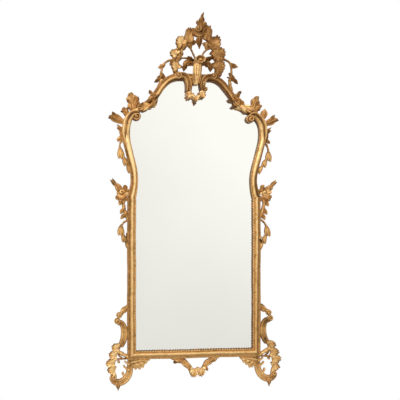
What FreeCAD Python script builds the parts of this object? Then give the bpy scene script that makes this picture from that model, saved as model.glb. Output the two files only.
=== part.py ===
import FreeCAD, Part
import math
import os

# A carved and gilded wall mirror: a moulded wooden frame with shaped shoulders and an arched
# head, a silvered glass held in a rebate by packing blocks, backing boards, two hinged ring
# hangers, and carved scrolls, leaves, shells and husks that are glued to the frame.
# X runs to the right, Z up and Y to the rear. The backing boards' rear faces lie on Y = 0,
# where the mirror rests on its wall, and every depth below is counted forward from there.

# Driving dimensions of the whole mirror, in millimetres
FRAME_WIDTH = 575.0
OVERALL_HEIGHT = 1606.0

# The moulding that all rails share
RAIL_FACE = 36.5
RAIL_DEPTH = 38.0
RAIL_SIDE_HEIGHT = 18.0
REBATE_WIDTH = 8.0
REBATE_DEPTH = 10.0
LIP_THICKNESS = 16.0

# Glass and backing
GLASS_THICKNESS = 4.0
GLASS_EDGE_CLEARANCE = 1.0
BOARD_THICKNESS = 6.0
BOARD_LAP = 8.0
BOARD_GAP = 0.6
BLOCK_LENGTH = 40.0

# Joinery
DOWEL_RADIUS = 3.5
DOWEL_LENGTH = 44.0
SPLINE_THICKNESS = 3.0
SPLINE_SIDE = 26.0
JOINERY_DEPTH = 9.0
FIT_CLEARANCE = 0.05

# Wood screws
SCREW_HEAD_RADIUS = 3.0
SCREW_HEAD_HEIGHT = 1.6
SCREW_SHANK_RADIUS = 1.5
BOARD_SCREW_LENGTH = 18.0
HANGER_SCREW_LENGTH = 16.0

# Ring hangers
STRAP_WIDTH = 12.0
STRAP_LENGTH = 56.0
STRAP_THICKNESS = 1.2
KNUCKLE_RADIUS = 3.0
RING_WIRE_RADIUS = 1.5
RING_RUNNING_CLEARANCE = 0.08
RING_SIDE_CLEARANCE = 0.7
RING_DROP = 24.0
RING_CORNER_RADIUS = 2.0
HANGER_SCREW_SPACING = 16.0
HANGER_SCREW_END_MARGIN = 7.0

# Carvings
CARVING_SETBACK = 4.0
SIDE_CARVING_DEPTH = 18.0
CREST_CARVING_DEPTH = 24.0
STEM_CARVING_DEPTH = 12.0
OVERLAY_HEIGHT = 9.0
OVERLAY_AIR = 0.4
VASE_AXIS_DEPTH = 38.0
VASE_NOTCH_CLEARANCE = 0.5
BLOSSOM_HEIGHT = 54.0

# One overrun serves every cut that has to pass right through
OVERRUN = 20.0

# Places are read as columns and rows of a view of the front, in pixels of 400 by 400. The view is
# taken a little from the left with a level eye, so that it grows smaller towards the right. The
# frame's width and the overall height turn places into millimetres.
VIEW_COLUMN_px = 194.0
EYE_ROW_px = 285.0
RECESSION_share = 0.0002
STILE_OUTER_COLUMNS_px = (127.3, 260.7)
FINIAL_TIP_px = (203.8, 12.0)
FOOT_TIP_px = (118.0, 390.5)
FRAME_BOTTOM_ROW_px = 358.2
STILE_TOP_ROW_px = 197.0
HEAD_JOINT_px = (196.2, 78.0)
SHOULDER_px = {
    "left": ((133.2, 189), (134.3, 180), (132.6, 166), (129.0, 152), (126.2, 139),
             (125.9, 127.5), (128.2, 119.0), (131.4, 114.4), (135.2, 111.4)),
    "right": ((254.6, 191), (253.2, 181.5), (254.9, 168), (258.4, 154), (261.4, 141),
              (262.2, 130.5), (260.1, 122.8), (256.9, 118.4), (253.0, 115.6)),
}
ARCH_px = {
    "left": ((132.4, 109.8), (141.0, 106.6), (147.5, 103.8), (153.0, 99.2), (158.0, 92.6),
             (163.5, 85.4), (169.0, 80.4), (175.5, 77.8), (184.0, 77.2)),
    "right": ((257.0, 114.4), (249.0, 111.6), (242.6, 108.6), (237.0, 103.4), (232.0, 96.8),
              (226.3, 89.2), (220.5, 82.6), (213.5, 78.9), (206.0, 78.0)),
}
BOARD_JOINT_ROWS_px = (278.0, 150.0)
STILE_SCREW_ROWS_px = (338.0, 290.0, 266.0, 214.0)
BOTTOM_SCREW_COLUMNS_px = (150.0, 194.0, 238.0)
SHOULDER_SCREW_STATIONS = (3, 5)
ARCH_SCREW_STATIONS = (2, 5, 8)
BLOCK_ROWS_px = (335.0, 300.0, 260.0, 222.0)
BLOCK_COLUMNS_px = (152.0, 194.0, 236.0)
HANGER_ROW_px = 205.0
CREST_DOWEL_px = {"left": (176.5, 74.0), "right": (217.5, 76.0)}
VASE_AXIS_COLUMN_px = 196.8
VASE_RADII_AND_ROWS_px = ((4.6, 61.0), (4.1, 63.5), (4.5, 70.0), (4.0, 75.0), (3.4, 80.0), (3.8, 84.5))
VASE_FACETS = 14
BLOSSOM_CENTRE_px = (199.2, 59.8)
BLOSSOM_SPREAD_px = (3.6, 1.9)
BLOSSOM_RADIUS_px = 2.2
BLOSSOM_PETALS = 6

# Carvings: a form, its layer, its half-width or half-widths, the lobes on each side, and its places
# from root to tip

# Carvings of the crest, in the order in which they are fitted
CREST_CARVINGS_px = {
    "left_crest_shells": (
        ("shell", "crest", 4.6, 3, (189.3, 44.5), (188.7, 35.5), (190.0, 26.6)),
        ("shell", "crest", 5.0, 3, (184.3, 47.5), (180.5, 42.5), (177.3, 37.3)),
        ("shell", "crest", 4.0, 3, (177.5, 57.0), (174.0, 52.6), (171.8, 48.4)),
        ("shell", "crest", 4.2, 3, (177.0, 73.5), (175.6, 66.0), (175.4, 59.0)),
        ("stem", "crest", (1.4, 1.8, 1.9, 1.8), (190.5, 41.5), (181.5, 47.5),
         (176.6, 57.0), (176.8, 75.0))),
    "right_crest_shells": (
        ("shell", "crest", 4.5, 3, (205.8, 38.5), (208.5, 32.0), (211.0, 26.2)),
        ("shell", "crest", 5.2, 3, (211.5, 47.5), (216.5, 41.5), (220.6, 35.6)),
        ("shell", "crest", 5.2, 3, (216.3, 60.5), (219.2, 53.0), (224.5, 47.0)),
        ("shell", "crest", 5.0, 3, (216.8, 77.0), (219.0, 68.0), (220.8, 59.8)),
        ("stem", "crest", (1.6, 2.0, 2.1, 2.0), (204.6, 37.0), (213.0, 45.0),
         (217.0, 58.0), (217.2, 77.5))),
    "crest_finial": (
        ("leaf", "crest", 4.6, 3, (200.6, 36.0), (201.2, 27.0), (202.0, 19.5), FINIAL_TIP_px),
        ("boss", "crest", 3.5, (198.2, 29.6)),
        ("stem", "crest", (1.6, 1.9, 1.7), (191.5, 30.5), (198.2, 35.2), (206.5, 32.0))),
    "crest_pendant_leaf": (
        ("leaf", "crest", 3.0, 3, (199.4, 34.0), (199.6, 41.0), (199.6, 48.6)),),
    "left_vase_leaf": (
        ("leaf", "crest", 3.1, 3, (195.0, 63.5), (188.3, 61.6), (185.0, 64.5), (184.2, 70.6)),),
    "right_vase_leaf": (
        ("leaf", "crest", 3.1, 3, (200.5, 63.8), (206.6, 62.0), (209.8, 65.0), (210.3, 71.4)),),
    "left_crest_stems": (
        ("stem", "stem", (1.1, 1.1, 1.0), (196.0, 59.0), (193.0, 52.0), (190.6, 47.5)),
        ("leaf", "stem", 2.4, 2, (190.8, 48.5), (190.0, 44.0), (188.0, 40.5)),
        ("stem", "stem", (1.0, 1.0, 0.9), (195.5, 60.0), (186.0, 57.6), (175.0, 58.8)),
        ("leaf", "stem", 1.6, 2, (181.0, 57.5), (181.8, 54.5), (183.5, 51.5))),
    "right_crest_stems": (
        ("stem", "stem", (1.1, 1.1, 0.9), (201.8, 59.0), (205.0, 51.2), (214.5, 46.8)),
        ("leaf", "stem", 2.6, 2, (206.2, 50.0), (206.2, 45.0), (209.0, 40.8)),
        ("stem", "stem", (1.0, 1.3, 1.0), (202.5, 60.5), (210.0, 59.0), (217.0, 57.5))),
    "left_crest_scroll": (
        ("boss", "over", 3.2, (178.2, 75.4)),
        ("stem", "over", (2.4, 2.9, 3.0, 2.6), (178.0, 76.5), (185.5, 77.0),
         (189.2, 82.5), (188.6, 92.0))),
    "right_crest_scroll": (
        ("boss", "over", 3.0, (212.5, 77.0)),
        ("stem", "over", (2.4, 2.8, 2.8, 2.2), (212.5, 78.0), (206.0, 78.6),
         (202.0, 83.0), (203.0, 91.5))),
    "pendant_wreath": (
        ("stem", "over", (1.8, 1.9, 1.8), (189.2, 91.0), (195.8, 98.2), (202.8, 90.5)),
        ("leaf", "over", 3.4, 2, (189.5, 90.0), (190.0, 95.5), (189.6, 100.6)),
        ("leaf", "over", 3.3, 2, (195.2, 95.0), (196.4, 98.5), (196.8, 102.4)),
        ("leaf", "over", 1.3, 2, (193.6, 98.0), (194.2, 101.0), (195.2, 104.6)),
        ("leaf", "over", 3.3, 2, (202.8, 90.5), (202.4, 95.5), (201.6, 100.4)),
        ("leaf", "over", 3.2, 2, (200.8, 89.0), (203.6, 89.5), (207.2, 90.5))),
    "left_spray": (
        ("stem", "stem", (1.0, 1.1, 1.1, 1.2), (173.0, 58.6), (163.6, 63.6),
         (161.6, 72.0), (160.2, 86.5)),
        ("stem", "stem", (1.0, 0.9, 0.5), (173.0, 59.0), (171.0, 61.5), (170.6, 65.0)),
        ("leaf", "stem", 2.5, 2, (164.6, 63.2), (161.5, 65.6), (158.5, 68.0)),
        ("leaf", "stem", 3.4, 3, (162.6, 73.5), (159.5, 78.5), (154.6, 81.4))),
    "right_spray": (
        ("stem", "stem", (1.0, 1.1, 1.1, 1.2), (222.5, 59.0), (231.4, 63.8),
         (231.6, 72.0), (229.2, 88.5)),
        ("leaf", "stem", 2.6, 2, (230.8, 63.6), (234.4, 66.2), (238.6, 67.6)),
        ("leaf", "stem", 3.4, 3, (230.4, 74.0), (233.6, 78.5), (237.8, 84.0)),
        ("stem", "stem", (1.1, 0.9, 0.5), (231.4, 78.5), (229.0, 77.6), (227.4, 77.0))),
}

# Carvings on the arch rails and the shoulders
SHOULDER_CARVINGS_px = {
    "left_arch_leaves": (
        ("leaf", "over", 4.8, 4, (158.5, 94.0), (153.5, 99.6), (145.5, 105.2)),
        ("leaf", "over", 4.8, 3, (148.5, 103.6), (141.0, 107.0), (133.6, 110.6))),
    "left_arch_bud": (
        ("leaf", "side", 2.3, 2, (157.0, 97.5), (152.5, 94.2), (149.2, 89.6)),),
    "right_arch_leaves": (
        ("leaf", "over", 5.2, 4, (231.5, 96.5), (236.4, 103.4), (243.5, 108.4)),
        ("leaf", "over", 4.4, 3, (241.0, 107.5), (248.0, 111.4), (256.0, 114.2))),
    "right_arch_bud": (
        ("leaf", "side", 2.4, 2, (234.0, 99.0), (238.2, 94.6), (241.6, 92.2)),),
    "left_shoulder_volute": (
        ("boss", "over", 3.9, (136.6, 115.6)),
        ("stem", "over", (3.6, 3.4, 2.4), (128.4, 119.5), (131.8, 113.2), (137.6, 113.0))),
    "right_shoulder_volute": (
        ("boss", "over", 3.9, (249.8, 119.8)),
        ("stem", "over", (3.6, 3.4, 2.4), (259.8, 123.0), (256.2, 117.4), (249.6, 117.2))),
    "left_shoulder_leaf": (
        ("leaf", "side", 6.2, 3, (134.6, 112.5), (133.4, 101.5), (132.0, 91.6)),),
    "right_shoulder_leaf": (
        ("leaf", "side", 6.0, 3, (255.4, 117.0), (255.6, 106.5), (259.0, 97.0)),),
    "left_outer_leaves": (
        ("leaf", "side", 4.4, 2, (127.5, 123.0), (117.8, 117.4), (108.6, 113.6)),
        ("leaf", "side", 3.2, 2, (130.0, 116.5), (126.2, 111.5), (123.0, 106.2)),
        ("leaf", "side", 2.2, 2, (125.0, 132.0), (120.6, 127.0), (116.4, 123.6))),
    "right_outer_leaves": (
        ("leaf", "side", 4.2, 2, (261.5, 126.5), (270.0, 122.2), (278.6, 120.4)),
        ("leaf", "side", 3.1, 2, (259.5, 122.0), (263.8, 116.0), (265.4, 110.0)),
        ("leaf", "side", 2.4, 2, (263.5, 137.0), (267.4, 132.0), (271.8, 128.4))),
    "left_upper_husks": (
        ("leaf", "side", 2.6, 2, (125.0, 135.5), (121.0, 137.6), (117.0, 138.6)),
        ("stem", "side", (1.2, 1.0, 0.9), (123.5, 137.5), (120.4, 142.0), (120.0, 148.0)),
        ("husk", "side", 3.9, (120.0, 146.0), (120.8, 152.0), (121.4, 158.0)),
        ("husk", "side", 2.9, (122.6, 154.5), (125.2, 160.0), (127.6, 165.4)),
        ("leaf", "side", 2.4, 2, (126.4, 162.0), (129.0, 167.0), (132.0, 172.6))),
    "right_upper_husks": (
        ("leaf", "side", 1.8, 2, (263.5, 138.5), (267.0, 141.0), (270.0, 144.4)),
        ("stem", "side", (1.2, 1.0, 0.9), (263.8, 141.5), (267.6, 147.0), (269.0, 154.0)),
        ("husk", "side", 3.7, (268.8, 152.0), (269.0, 157.0), (268.8, 161.8)),
        ("husk", "side", 2.6, (267.4, 159.0), (265.4, 163.5), (263.4, 168.0)),
        ("leaf", "side", 2.3, 2, (264.0, 165.5), (260.8, 169.6), (256.6, 174.4))),
}

# Carvings on the outer sides of the stiles
SIDE_CARVINGS_px = {
    "left_side_leaf": (
        ("leaf", "side", 5.2, 3, (126.0, 199.0), (120.4, 190.0), (112.0, 179.2)),
        ("leaf", "side", 3.4, 2, (130.0, 193.6), (124.6, 190.6), (124.6, 184.0)),
        ("leaf", "side", 2.4, 2, (124.5, 194.0), (119.8, 196.0), (116.0, 199.0))),
    "right_side_leaf": (
        ("leaf", "side", 4.9, 3, (261.5, 200.5), (267.2, 192.0), (275.8, 183.0)),
        ("leaf", "side", 3.4, 2, (258.0, 195.0), (263.6, 192.6), (264.0, 186.6)),
        ("leaf", "side", 2.4, 2, (263.5, 195.5), (267.6, 197.4), (271.2, 200.2))),
    "left_side_husks": (
        ("stem", "side", (1.5, 1.5, 1.5, 1.4), (129.0, 198.0), (124.6, 204.0),
         (124.8, 212.0), (129.2, 220.5)),
        ("leaf", "side", 1.9, 2, (125.6, 200.5), (122.4, 201.4), (119.4, 203.4)),
        ("leaf", "side", 1.9, 2, (125.4, 208.6), (122.8, 210.4), (120.4, 213.0)),
        ("leaf", "side", 1.9, 2, (127.0, 213.8), (123.6, 215.4), (120.6, 218.2)),
        ("stem", "side", (1.4, 1.1, 1.0), (129.2, 219.2), (123.6, 222.0), (121.4, 226.5)),
        ("husk", "side", 3.9, (121.5, 224.0), (121.0, 229.6), (121.2, 235.0)),
        ("husk", "side", 2.4, (122.6, 232.0), (124.0, 237.0), (125.8, 242.0)),
        ("leaf", "side", 2.0, 2, (124.8, 239.5), (127.0, 243.5), (130.2, 248.4))),
    "right_side_husks": (
        ("stem", "side", (1.5, 1.5, 1.5, 1.4), (258.8, 199.0), (263.4, 205.0),
         (262.6, 212.5), (258.8, 221.0)),
        ("leaf", "side", 1.9, 2, (262.4, 202.5), (265.4, 204.2), (268.6, 206.8)),
        ("leaf", "side", 1.9, 2, (262.4, 210.0), (264.6, 212.4), (266.8, 215.4)),
        ("leaf", "side", 1.8, 2, (260.6, 214.6), (262.8, 216.8), (264.6, 220.0)),
        ("stem", "side", (1.4, 1.1, 1.0), (258.8, 219.6), (264.6, 223.4), (267.0, 229.0)),
        ("husk", "side", 3.6, (266.6, 226.5), (267.6, 231.5), (268.0, 237.0)),
        ("husk", "side", 2.3, (267.0, 234.4), (265.2, 239.4), (263.6, 244.4)),
        ("leaf", "side", 2.0, 2, (264.4, 241.6), (261.8, 245.6), (258.4, 250.2))),
}

# Scrolled feet under the two bottom corners, and the garland under the rail
FOOT_CARVINGS_px = {
    "left_foot_scroll": (
        ("stem", "side", (1.2, 1.6, 2.4), (129.4, 303.5), (124.6, 310.6), (118.2, 317.0)),
        ("boss", "side", 3.2, (118.2, 321.2)),
        ("stem", "side", (2.0, 2.7, 2.9, 2.4), (117.6, 319.5), (124.4, 327.0),
         (125.2, 336.5), (121.2, 345.5))),
    "right_foot_scroll": (
        ("stem", "side", (1.2, 1.6, 2.4), (258.6, 304.0), (263.6, 310.6), (270.4, 316.0)),
        ("boss", "side", 3.2, (269.8, 320.0)),
        ("stem", "side", (2.0, 2.7, 2.9, 2.4), (270.4, 318.5), (263.6, 326.0),
         (262.8, 335.0), (267.0, 343.6))),
    "left_foot_shells": (
        ("stem", "side", (1.6, 2.1, 2.1, 1.8), (121.6, 342.5), (117.0, 352.0),
         (114.6, 363.0), (114.2, 376.0)),
        ("shell", "side", 3.9, 3, (120.4, 346.6), (116.0, 346.8), (111.2, 347.4)),
        ("shell", "side", 4.0, 3, (118.0, 354.4), (113.0, 354.4), (108.3, 354.6)),
        ("shell", "side", 4.3, 3, (116.4, 362.0), (111.0, 362.0), (105.5, 362.0)),
        ("shell", "side", 3.8, 3, (116.0, 369.4), (111.8, 369.6), (107.4, 370.0)),
        ("stem", "side", (1.6, 1.4, 1.3), (117.0, 351.0), (123.0, 354.6), (129.6, 356.8)),
        ("stem", "side", (1.1, 1.0, 1.0), (115.6, 358.6), (122.0, 358.8), (129.0, 357.4))),
    "right_foot_shells": (
        ("stem", "side", (1.6, 2.1, 2.1, 1.8), (266.4, 341.0), (270.6, 350.0),
         (273.0, 360.6), (273.6, 374.0)),
        ("shell", "side", 3.9, 3, (267.0, 345.4), (271.6, 345.2), (276.2, 345.0)),
        ("shell", "side", 4.1, 3, (269.6, 353.0), (274.6, 352.8), (279.5, 352.6)),
        ("shell", "side", 4.1, 3, (271.4, 360.2), (276.6, 360.0), (281.6, 359.8)),
        ("shell", "side", 3.9, 3, (271.4, 367.4), (275.6, 367.2), (279.8, 367.0)),
        ("stem", "side", (1.6, 1.4, 1.3), (270.6, 350.0), (264.8, 353.6), (258.6, 356.2)),
        ("stem", "side", (1.1, 1.0, 1.0), (272.4, 357.4), (266.0, 358.2), (258.8, 357.0))),
    "left_foot_cusp": (
        ("boss", "side", 3.3, (113.8, 376.3)),
        ("stem", "side", (2.2, 2.5, 2.5, 2.2), (113.4, 378.0), (121.5, 382.6),
         (130.0, 374.5), (130.6, 355.5)),
        ("stem", "side", (1.8, 1.4, 1.0), (131.0, 371.0), (126.0, 372.0), (122.4, 371.2)),
        ("stem", "side", (1.8, 1.5, 1.1), (131.2, 364.6), (126.4, 364.0), (122.4, 365.2)),
        ("leaf", "side", 3.5, 2, (118.0, 380.0), (118.2, 384.5), FOOT_TIP_px)),
    "right_foot_cusp": (
        ("boss", "side", 3.3, (273.4, 374.6)),
        ("stem", "side", (2.2, 2.5, 2.5, 2.2), (273.8, 376.4), (265.8, 380.0),
         (258.0, 372.0), (257.4, 355.0)),
        ("stem", "side", (1.8, 1.4, 1.0), (257.2, 368.4), (262.4, 369.0), (267.4, 368.4)),
        ("stem", "side", (1.8, 1.5, 1.1), (257.0, 362.4), (262.0, 361.6), (266.4, 362.4)),
        ("leaf", "side", 3.3, 2, (269.6, 377.4), (269.4, 381.6), (269.2, 387.4))),
    "left_foot_leaf": (
        ("leaf", "side", 5.0, 4, (131.8, 366.8), (139.6, 360.2), (149.4, 358.8)),),
    "right_foot_leaf": (
        ("leaf", "side", 5.0, 4, (256.2, 365.8), (249.0, 359.4), (240.2, 357.6)),),
    "apron_garland": (
        ("stem", "side", (0.9, 2.9, 3.0, 2.6), (169.6, 357.0), (177.5, 359.8),
         (185.6, 363.8), (191.6, 372.0)),
        ("shell", "side", 4.2, 3, (193.4, 366.6), (193.6, 371.0), (193.8, 377.6)),
        ("shell", "side", 4.0, 3, (201.0, 365.6), (201.4, 370.0), (201.6, 376.6)),
        ("stem", "side", (0.9, 2.9, 3.0, 2.6), (220.2, 356.6), (213.0, 359.8),
         (206.6, 363.4), (202.0, 369.5))),
}

# Outline of the moulding, in shares of half its face width and of its depth
COVE_MIDDLE_shares = (-0.62, 0.57)
TORUS_START_shares = (-0.30, 0.82)
TORUS_CROWN_shares = (-0.03, 1.0)
TORUS_END_shares = (0.24, 0.84)
HOLLOW_MIDDLE_shares = (0.40, 0.66)
SIGHT_START_share = 0.55
SIGHT_CROWN_share = 0.78
SIGHT_RISE_share = 0.06

# Half-widths along a carving, from its root to its tip, in shares of its greatest
LEAF_shares = (0.45, 1.0, 0.80, 0.08)
SHELL_shares = (0.55, 0.95, 1.0, 0.40)
HUSK_shares = (0.25, 0.85, 1.0, 0.55)
LOBE_NOTCH_share = 0.24
LOBE_CREST_share = 0.62
RIDGE_share = 0.42
END_BEVEL_share = 0.07
DISC_TOP_share = 0.62
PLAIN_SIDE_ARCS = 4
SMALLEST_KEPT_share = 0.03
BOARD_SCREW_DEPTH_INTO_LAP_share = 0.5
HANGER_SHELF_share = 0.5

HALF_FACE = RAIL_FACE / 2
HALF_FRAME = FRAME_WIDTH / 2
FORWARD = FreeCAD.Vector(0, -1, 0)
UP = FreeCAD.Vector(0, 0, 1)
SIDES = ("left", "right")
TURN = {"left": 1, "right": -1}
MITRE_ANGLE = 45
PARALLEL_SPREAD = 1e-9


def squared(place_px):
    """Place as it would lie in a view taken straight from the front."""
    column, row = place_px
    gain = 1 / (1 - RECESSION_share * (column - VIEW_COLUMN_px))
    return VIEW_COLUMN_px + (column - VIEW_COLUMN_px) * gain, EYE_ROW_px + (row - EYE_ROW_px) * gain


LEFT_COLUMN, RIGHT_COLUMN = [squared((column, EYE_ROW_px))[0] for column in STILE_OUTER_COLUMNS_px]
TOP_ROW, LOWEST_ROW = [squared(tip)[1] for tip in (FINIAL_TIP_px, FOOT_TIP_px)]
MM_PER_COLUMN = FRAME_WIDTH / (RIGHT_COLUMN - LEFT_COLUMN)
MM_PER_ROW = OVERALL_HEIGHT / (LOWEST_ROW - TOP_ROW)
MM_PER_PIXEL = math.sqrt(MM_PER_COLUMN * MM_PER_ROW)


def spot(place_px, depth=0):
    """Point of the front, measured from the frame's middle and brought forward of the wall by a depth."""
    column, row = squared(place_px)
    return FreeCAD.Vector((column - (LEFT_COLUMN + RIGHT_COLUMN) / 2) * MM_PER_COLUMN, -depth,
                          ((TOP_ROW + LOWEST_ROW) / 2 - row) * MM_PER_ROW)


def height(row_px):
    """Height of a row in the middle of the view."""
    return spot((VIEW_COLUMN_px, row_px)).z


FRAME_BOTTOM = height(FRAME_BOTTOM_ROW_px)
STILE_TOP = height(STILE_TOP_ROW_px)
STILE_CENTRE = HALF_FRAME - HALF_FACE
BOTTOM_CENTRE = FRAME_BOTTOM + HALF_FACE
REBATE_WALL = HALF_FACE - REBATE_WIDTH
GLASS_EDGE = REBATE_WALL + GLASS_EDGE_CLEARANCE
BOARD_EDGE = REBATE_WALL - BOARD_LAP
GLASS_FRONT = BOARD_THICKNESS + REBATE_DEPTH
GLASS_REAR = GLASS_FRONT - GLASS_THICKNESS
CARVING_BACK = BOARD_THICKNESS + CARVING_SETBACK
FRAME_FRONT = BOARD_THICKNESS + RAIL_DEPTH
VASE_SEAT = GLASS_FRONT + LIP_THICKNESS
LAYERS = {
    "side": (CARVING_BACK, CARVING_BACK + SIDE_CARVING_DEPTH),
    "crest": (CARVING_BACK, CARVING_BACK + CREST_CARVING_DEPTH),
    "stem": (CARVING_BACK, CARVING_BACK + STEM_CARVING_DEPTH),
    "over": (GLASS_FRONT + OVERLAY_AIR, FRAME_FRONT + OVERLAY_HEIGHT),
}


# Curves

def unit(vector):
    """Copy of a vector at length one."""
    copy = FreeCAD.Vector(vector)
    copy.normalize()
    return copy


def inward(tangent, side):
    """Direction square to a rail, towards the glass, for a rail that is followed upwards."""
    return FreeCAD.Vector(tangent.z, 0, -tangent.x) * TURN[side]


def arc_or_line(start, middle, end):
    """Edge through three points: an arc, or a line where they are in a row."""
    chord = end - start
    bulge = chord.cross(middle - start).Length
    if bulge < FIT_CLEARANCE * chord.Length:
        return Part.LineSegment(start, end).toShape()
    return Part.Arc(start, middle, end).toShape()


def tangent_arc(start, corner, end):
    """Arc between two points whose end tangents meet at a corner point."""
    foot = (start + end) / 2
    rise = corner - foot
    half_chord = (end - start).Length / 2
    if rise.Length < FIT_CLEARANCE:
        return Part.LineSegment(start, end).toShape()
    half_turn = math.atan2(rise.Length, half_chord)
    middle = foot + unit(rise) * (half_chord * math.tan(half_turn / 2))
    return Part.Arc(start, middle, end).toShape()


def biarc(start, start_tangent, end, end_tangent):
    """Two arcs that join two points and keep both tangents."""
    chord = end - start
    along = chord.dot(start_tangent + end_tangent)
    spread = 2 * (1 - start_tangent.dot(end_tangent))
    if spread < PARALLEL_SPREAD:
        reach = chord.dot(chord) / (2 * along)
    else:
        reach = (math.sqrt(along * along + spread * chord.dot(chord)) - along) / spread
    first_corner = start + start_tangent * reach
    last_corner = end - end_tangent * reach
    meeting = (first_corner + last_corner) / 2
    return [tangent_arc(start, first_corner, meeting), tangent_arc(meeting, last_corner, end)]


def tangents_through(points, first=None, last=None):
    """Tangents of a smooth line through points: along the neighbours' chord at each of them."""
    inner = [unit(points[i + 1] - points[i - 1]) for i in range(1, len(points) - 1)]
    first_chord = unit(points[1] - points[0])
    last_chord = unit(points[-1] - points[-2])
    first = first or unit(first_chord * 2 - inner[0])
    last = last or unit(last_chord * 2 - inner[-1])
    return [first] + inner + [last]


def follow(stations):
    """Edges along stations, each a point with its tangent."""
    edges = []
    for (start, start_tangent), (end, end_tangent) in zip(stations, stations[1:]):
        edges += biarc(start, start_tangent, end, end_tangent)
    return edges


def beside(stations, distance, side):
    """Stations moved square to their line, towards the glass."""
    return [(point + inward(tangent, side) * distance, tangent) for point, tangent in stations]


def lifted(shape, depth):
    """Shape moved forward of the wall by a depth."""
    moved = shape.copy()
    moved.translate(FORWARD * depth)
    return moved


def plate(edges, rear, front):
    """Flat solid between two depths, with a closed chain of edges as its outline."""
    wire = Part.Wire(edges)
    return lifted(Part.Face(wire), rear).extrude(FORWARD * (front - rear))


def polygon_plate(points, rear, front):
    """Flat solid between two depths, with straight sides."""
    return plate(Part.makePolygon(points + points[:1]).Edges, rear, front)


# Rails

def stile_line(side):
    """Stations of a stile's centre line, from the frame's bottom edge to the shoulder joint."""
    x = -TURN[side] * STILE_CENTRE
    return [(FreeCAD.Vector(x, 0, FRAME_BOTTOM), UP), (FreeCAD.Vector(x, 0, STILE_TOP), UP)]


def shoulder_line(side):
    """Stations of a shoulder rail, which goes on from its stile."""
    points = [stile_line(side)[1][0]] + [spot(place) for place in SHOULDER_px[side]]
    return list(zip(points, tangents_through(points, first=UP)))


def arch_line(side):
    """Stations of an arch rail, from its shoulder to the joint behind the vase."""
    points = [spot(place) for place in ARCH_px[side]] + [spot(HEAD_JOINT_px)]
    level = FreeCAD.Vector(TURN[side], 0, 0)
    return list(zip(points, tangents_through(points, last=level)))


def moulding(origin, towards_glass):
    """Wire of the moulding's section: outer side, cove, torus, hollow, sight edge and rebate."""
    def at(across, height):
        return origin + towards_glass * across + FORWARD * (BOARD_THICKNESS + height)

    def shared(shares):
        return at(shares[0] * HALF_FACE, shares[1] * RAIL_DEPTH)

    lip = REBATE_DEPTH + LIP_THICKNESS
    rear_outer = at(-HALF_FACE, 0)
    side_top = at(-HALF_FACE, RAIL_SIDE_HEIGHT)
    sight_start = at(SIGHT_START_share * HALF_FACE, lip)
    sight_crown = at(SIGHT_CROWN_share * HALF_FACE, lip + SIGHT_RISE_share * RAIL_DEPTH)
    sight_end = at(HALF_FACE, lip)
    lip_rear = at(HALF_FACE, REBATE_DEPTH)
    rebate_corner = at(REBATE_WALL, REBATE_DEPTH)
    rear_inner = at(REBATE_WALL, 0)
    return Part.Wire([
        Part.LineSegment(rear_outer, side_top).toShape(),
        arc_or_line(side_top, shared(COVE_MIDDLE_shares), shared(TORUS_START_shares)),
        arc_or_line(shared(TORUS_START_shares), shared(TORUS_CROWN_shares), shared(TORUS_END_shares)),
        arc_or_line(shared(TORUS_END_shares), shared(HOLLOW_MIDDLE_shares), sight_start),
        arc_or_line(sight_start, sight_crown, sight_end),
        Part.LineSegment(sight_end, lip_rear).toShape(),
        Part.LineSegment(lip_rear, rebate_corner).toShape(),
        Part.LineSegment(rebate_corner, rear_inner).toShape(),
        Part.LineSegment(rear_inner, rear_outer).toShape(),
    ])


def swept_rail(stations, side):
    """Rail of the shared moulding along a curved line in the plane of the frame."""
    start, tangent = stations[0]
    sweep = Part.BRepOffsetAPI.MakePipeShell(Part.Wire(follow(stations)))
    sweep.setBiNormalMode(FORWARD)
    sweep.add(moulding(start, inward(tangent, side)))
    sweep.build()
    sweep.makeSolid()
    return sweep.shape()


def mitre_wedge(side, above):
    """Prism on one side of a bottom corner's mitre plane, for cutting it."""
    turn = TURN[side]
    outer = FreeCAD.Vector(-turn * (HALF_FRAME + OVERRUN), 0, FRAME_BOTTOM - OVERRUN)
    reach = RAIL_FACE + 2 * OVERRUN
    inner = outer + FreeCAD.Vector(turn * reach, 0, reach)
    corner = FreeCAD.Vector(outer.x, 0, inner.z) if above else FreeCAD.Vector(inner.x, 0, outer.z)
    return polygon_plate([outer, inner, corner], 0, FRAME_FRONT + OVERRUN)


def stile(side):
    """Straight upright, mitred at its foot."""
    (start, _), (end, _) = stile_line(side)
    bar = Part.Face(moulding(start, inward(UP, side))).extrude(end - start)
    return bar.cut(mitre_wedge(side, above=False))


def bottom_rail():
    """Straight rail between the stiles, mitred at both ends."""
    start = FreeCAD.Vector(-HALF_FRAME, 0, BOTTOM_CENTRE)
    bar = Part.Face(moulding(start, UP)).extrude(FreeCAD.Vector(FRAME_WIDTH, 0, 0))
    for side in SIDES:
        bar = bar.cut(mitre_wedge(side, above=True))
    return bar


# Glass, boards and packing

def frame_outline(distance):
    """Closed chain of edges all round the frame, a distance inside the rails' centre lines."""
    floor = BOTTOM_CENTRE + distance
    chains = {}
    for side in SIDES:
        upright = beside(stile_line(side), distance, side)
        foot = FreeCAD.Vector(upright[0][0].x, 0, floor)
        shoulder = beside(shoulder_line(side), distance, side)
        arch = beside(arch_line(side), distance, side)[1:]
        corner = [Part.LineSegment(shoulder[-1][0], arch[0][0]).toShape()]
        upright_edge = [Part.LineSegment(foot, upright[1][0]).toShape()]
        chains[side] = upright_edge + follow(shoulder) + corner + follow(arch)
        chains[side + " foot"] = foot
    sill = Part.LineSegment(chains["right foot"], chains["left foot"]).toShape()
    return Part.__sortEdges__(chains["left"] + chains["right"] + [sill])


def mirror_glass():
    """Silvered glass, its edge inside the rebate all round."""
    return plate(frame_outline(GLASS_EDGE), GLASS_REAR, GLASS_FRONT)


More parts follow.
